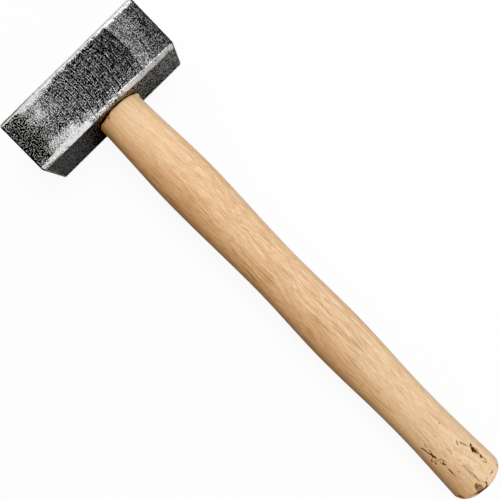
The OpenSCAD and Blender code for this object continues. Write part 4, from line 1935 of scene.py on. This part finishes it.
@dataclass
class WedgeSet:
    """The wooden wedge in the tenon's kerf and the two steel wedges driven across it."""

    handle: Handle = field(default_factory=Handle)
    gap: float = 0.1
    wood_reach: float = 7.5
    wood_thick: float = 3.6
    wood_tip: float = 0.9
    steel_length: float = 19.0
    steel_width: float = 12.0
    steel_thick: float = 3.0
    steel_tip: float = 0.8
    steel_offset: float = 6.5
    steel_sink: float = 0.4
    steel_chamfer: float = 0.3
    barb_depth: float = 0.25
    barb_pitch: float = 4.0
    barb_edge: float = 0.05
    slab_points: int = 13
    taper_step: float = 0.001
    kerf_half_width: float = 20.0
    slot_lead: float = 4.0
    taper_lead: float = 3.0
    wood_form_length: float = 34.0
    wood_form_rings: int = 60
    wood_crease_degrees: float = 30.0
    steel_crease_degrees: float = 25.0

    @property
    def steel_driven(self) -> float:
        """Where the steel wedges' driven ends lie."""
        return self.handle.tenon_end + self.steel_sink

    def steel_half(self, along: float) -> float:
        """Gives half of a steel wedge's thickness at a distance from its driven end."""
        return (self.steel_thick + (self.steel_tip - self.steel_thick) * along / self.steel_length) / 2

    def steel_centre(self, side: Side) -> Triple:
        """Gives the middle of a steel wedge across the handle."""
        return 0.0, self.handle.eye.offset + side.value * self.steel_offset, AXIS_HEIGHT

    def _slab(self, x_marks: Sequence[float], halves: Sequence[float], reach: Pair, upright: bool,
              name: str) -> Piece:
        """Makes a wedge-shaped slab, fine enough to shape.

        Args:
            x_marks: The slab's stations along the handle.
            halves: Its half thickness at each station.
            reach: Its lowest and highest place across, along Z when upright and along Y otherwise.
            upright: Whether it stands across the cheeks.
            name: The object's name.

        Returns:
            The slab.
        """
        across = np.linspace(*reach, self.slab_points)
        rings = []
        for x, half in zip(x_marks, halves):
            top = np.stack([across, np.full(self.slab_points, half)], axis=1)
            bottom = np.stack([across[::-1], np.full(self.slab_points, -half)], axis=1)
            outline = np.concatenate([top, bottom])
            y, z = (outline[:, 1], outline[:, 0]) if upright else (outline[:, 0], outline[:, 1])
            rings.append(np.stack([np.full(len(outline), x), y, z], axis=1))
        return loft(np.array(rings)).to_object(name)

    def _steel_form(self, side: Side, grown: float, start: float, name: str) -> Piece:
        """Makes a plain steel wedge, or the slot that holds it.

        Args:
            side: Which wedge it is.
            grown: How much larger than the wedge it is all round.
            start: Where it starts along the handle.
            name: The object's name.

        Returns:
            The solid.
        """
        marks = [start, self.steel_driven, self.steel_driven + self.steel_length + grown]
        halves = [self.steel_half(along) + grown for along in (0, 0, self.steel_length)]
        half_width = self.steel_width / 2 + grown
        made = self._slab(marks, halves, (-half_width, half_width), True, name)
        set_points(made, points_of(made) + self.steel_centre(side))
        return made

    def _wood_form(self, grown: float, start: float, name: str) -> Piece:
        """Makes the wooden wedge's taper across the whole eye, or its kerf.

        Args:
            grown: How much larger than the wedge it is all round.
            start: Where it starts along the handle.
            name: The object's name.

        Returns:
            The solid.
        """
        tip = self.steel_driven + self.steel_length + self.wood_reach
        marks = [start, self.handle.tenon_end + self.taper_step, tip + grown]
        halves = [thick / 2 + grown for thick in (self.wood_thick, self.wood_thick, self.wood_tip)]
        made = self._slab(marks, halves, (-self.kerf_half_width, self.kerf_half_width), False, name)
        set_points(made, points_of(made) + (0.0, self.handle.eye.offset, AXIS_HEIGHT))
        return made

    def slots(self) -> list[Piece]:
        """Makes the solids that cut the kerf and the steel wedges' slots.

        Returns:
            The cutting solids.
        """
        start = self.handle.tenon_end - self.slot_lead
        return [self._wood_form(self.gap, start, "kerf"),
                *(self._steel_form(side, self.gap, start, "slot") for side in Side)]

    def build_wooden(self, material: Material) -> Piece:
        """Builds the wooden wedge and dresses it.

        Args:
            material: The wedge's material.

        Returns:
            The finished wedge.
        """
        gap, eye, end = self.handle.tenon_gap, self.handle.eye, self.handle.tenon_end
        marks = np.linspace(end, end + self.wood_form_length, self.wood_form_rings)
        form = [eye.ring(x, eye.radius(max(x, -eye.head_depth / 2)) - gap) for x in marks]
        wedge = loft(np.array(form)).to_object("wooden_wedge_piece")
        cut(wedge, self._wood_form(0.0, end - self.taper_lead, "taper"), Cut.KEEP_SHARED)
        for side in Side:
            cut(wedge, self._steel_form(side, self.gap, end - self.slot_lead, "slot"), Cut.TAKE_AWAY)
        shade(wedge, self.wood_crease_degrees)
        finish_piece(wedge, "wooden_wedge", material)
        return wedge

    def build_steel(self, side: Side, material: Material) -> Piece:
        """Builds a barbed steel wedge and dresses it.

        Args:
            side: Which wedge it is.
            material: The wedge's material.

        Returns:
            The finished wedge.
        """
        driven, name = self.steel_driven, f"steel_wedge_{side.name.lower()}"
        marks = [driven, driven + self.steel_chamfer]
        halves = [self.steel_half(0) - self.steel_chamfer, self.steel_half(0)]
        for number in range(1, int((self.steel_length - self.barb_pitch) / self.barb_pitch) + 1):
            along = number * self.barb_pitch
            run_out = along + self.barb_pitch / 2
            marks += [driven + along, driven + along + self.barb_edge, driven + run_out]
            half = self.steel_half(along)
            halves += [half, half - self.barb_depth, self.steel_half(run_out)]
        marks.append(driven + self.steel_length)
        halves.append(self.steel_half(self.steel_length))
        half_width = self.steel_width / 2
        wedge = self._slab(marks, halves, (-half_width, half_width), True, f"{name}_piece")
        set_points(wedge, points_of(wedge) + self.steel_centre(side))
        shade(wedge, self.steel_crease_degrees)
        finish_piece(wedge, name, material)
        return wedge


# The studio


@dataclass(frozen=True)
class SoftLight:
    """A square soft light, by its place, what it faces, its side and its power."""

    name: str
    place: Triple
    aim: Triple
    side: float
    power: float

    def build(self) -> Piece:
        """Builds the light.

        Returns:
            The light.
        """
        lamp = bpy.data.lights.new(self.name, "AREA")
        lamp.size, lamp.energy = self.side, self.power
        made = bpy.data.objects.new(self.name, lamp)
        made.location = self.place
        made.rotation_euler = (Vector(self.aim) - Vector(self.place)).to_track_quat("-Z", "Y").to_euler()
        bpy.context.scene.collection.objects.link(made)
        return made


@dataclass
class Studio:
    """The camera, the pale floor and the soft lights."""

    camera_place: Triple = (124.23, 5.65, 315.8)
    camera_turn: Triple = (-2.175, -0.828, 45.807)
    focal_pixels: float = 476.5
    frame_pixels: float = 500.0
    sensor: float = 36.0
    near_clip: float = 0.01
    floor_side: float = 4.0
    floor_parts: int = 8
    touch_head: Pair = (16.0, 0.0)
    touch_butt: Pair = (338.0, 4.36)
    sky: Colour = (1.0, 1.0, 1.0, 1.0)
    sky_strength: float = 0.34
    black_level: float = 0.035
    lights: tuple[SoftLight, ...] = (
        SoftLight("Key light", (-0.11, 0.66, 1.27), (0.14, 0.0, 0.0), 0.9, 13.0),
        SoftLight("Bevel light", (1.5, 0.0, 0.65), (0.02, 0.0, 0.0), 1.0, 4.5),
        SoftLight("Rim light", (-1.3, 0.1, 0.8), (0.0, 0.0, 0.0), 1.0, 4.4),
    )

    def build_camera(self) -> Piece:
        """Builds the camera above the handle and makes it the scene's own.

        Returns:
            The camera.
        """
        lens = bpy.data.cameras.new("Camera")
        lens.sensor_width = self.sensor
        lens.lens = self.focal_pixels / self.frame_pixels * self.sensor
        lens.clip_start = self.near_clip
        camera = bpy.data.objects.new("Camera", lens)
        camera.location = Vector(self.camera_place) * MM
        camera.rotation_euler = [math.radians(turn) for turn in self.camera_turn]
        bpy.context.scene.collection.objects.link(camera)
        bpy.context.scene.camera = camera
        return camera

    def build_floor(self, material: Material) -> Piece:
        """Builds the floor, tilted so that the head's cheek and the butt both touch it.

        Args:
            material: The floor's material.

        Returns:
            The floor.
        """
        (x0, z0), (x1, z1) = self.touch_head, self.touch_butt
        work = bmesh.new()
        bmesh.ops.create_grid(work, x_segments=self.floor_parts, y_segments=self.floor_parts,
                              size=self.floor_side / 2)
        tilt = Matrix.Rotation(-math.atan2(z1 - z0, x1 - x0), 4, "Y")
        bmesh.ops.transform(work, matrix=Matrix.Translation((x0 * MM, 0.0, z0 * MM)) @ tilt, verts=work.verts)
        mesh = bpy.data.meshes.new("Floor")
        work.to_mesh(mesh)
        work.free()
        mesh.materials.append(material)
        floor = bpy.data.objects.new("Floor", mesh)
        bpy.context.scene.collection.objects.link(floor)
        return floor

    def build_lights(self) -> None:
        """Builds the soft lights and the even light round the scene, and sets how it is shown."""
        for light in self.lights:
            light.build()
        scene = bpy.context.scene
        scene.world = scene.world or bpy.data.worlds.new("World")
        scene.world.use_nodes = True
        sky = next(node for node in scene.world.node_tree.nodes if node.type == "BACKGROUND")
        sky.inputs["Color"].default_value = self.sky
        sky.inputs["Strength"].default_value = self.sky_strength
        view = scene.view_settings
        view.view_transform = "Standard"
        view.use_curve_mapping = True
        view.curve_mapping.black_level = (self.black_level,) * 3
        view.curve_mapping.update()


def main() -> None:
    """Builds the studio and the hammer in order, and reports each piece."""
    logging.basicConfig(level=logging.INFO, format="%(name)s: %(message)s")
    studio = Studio()
    studio.build_camera()
    studio.build_lights()
    studio.build_floor(StudioFloor().build())
    LOG.info("studio: camera, floor and %d lights", len(studio.lights))

    effects = Effects()
    handle_wood = Hardwood()
    wedge_wood = Hardwood(name="Wedge hardwood", pale=(0.42, 0.25, 0.13, 1.0), warm=(0.3, 0.16, 0.08, 1.0),
                          rosy=(0.36, 0.18, 0.09, 1.0), painted_shades=(), streaks=(), ring_spacing=1.6,
                          roughness=Ramp(0.0, 1.0, 0.6, 0.75), bump_height=0.1)
    steel = WedgeSteel().build(effects)

    ForgedHead().build(ForgedSteel().build(effects))
    handle, wedges = Handle(), WedgeSet()
    handle.build(handle_wood.build(effects), wedges.slots)
    wedges.build_wooden(wedge_wood.build(effects))
    for side in Side:
        wedges.build_steel(side, steel)


if __name__ == "__main__":
    main()
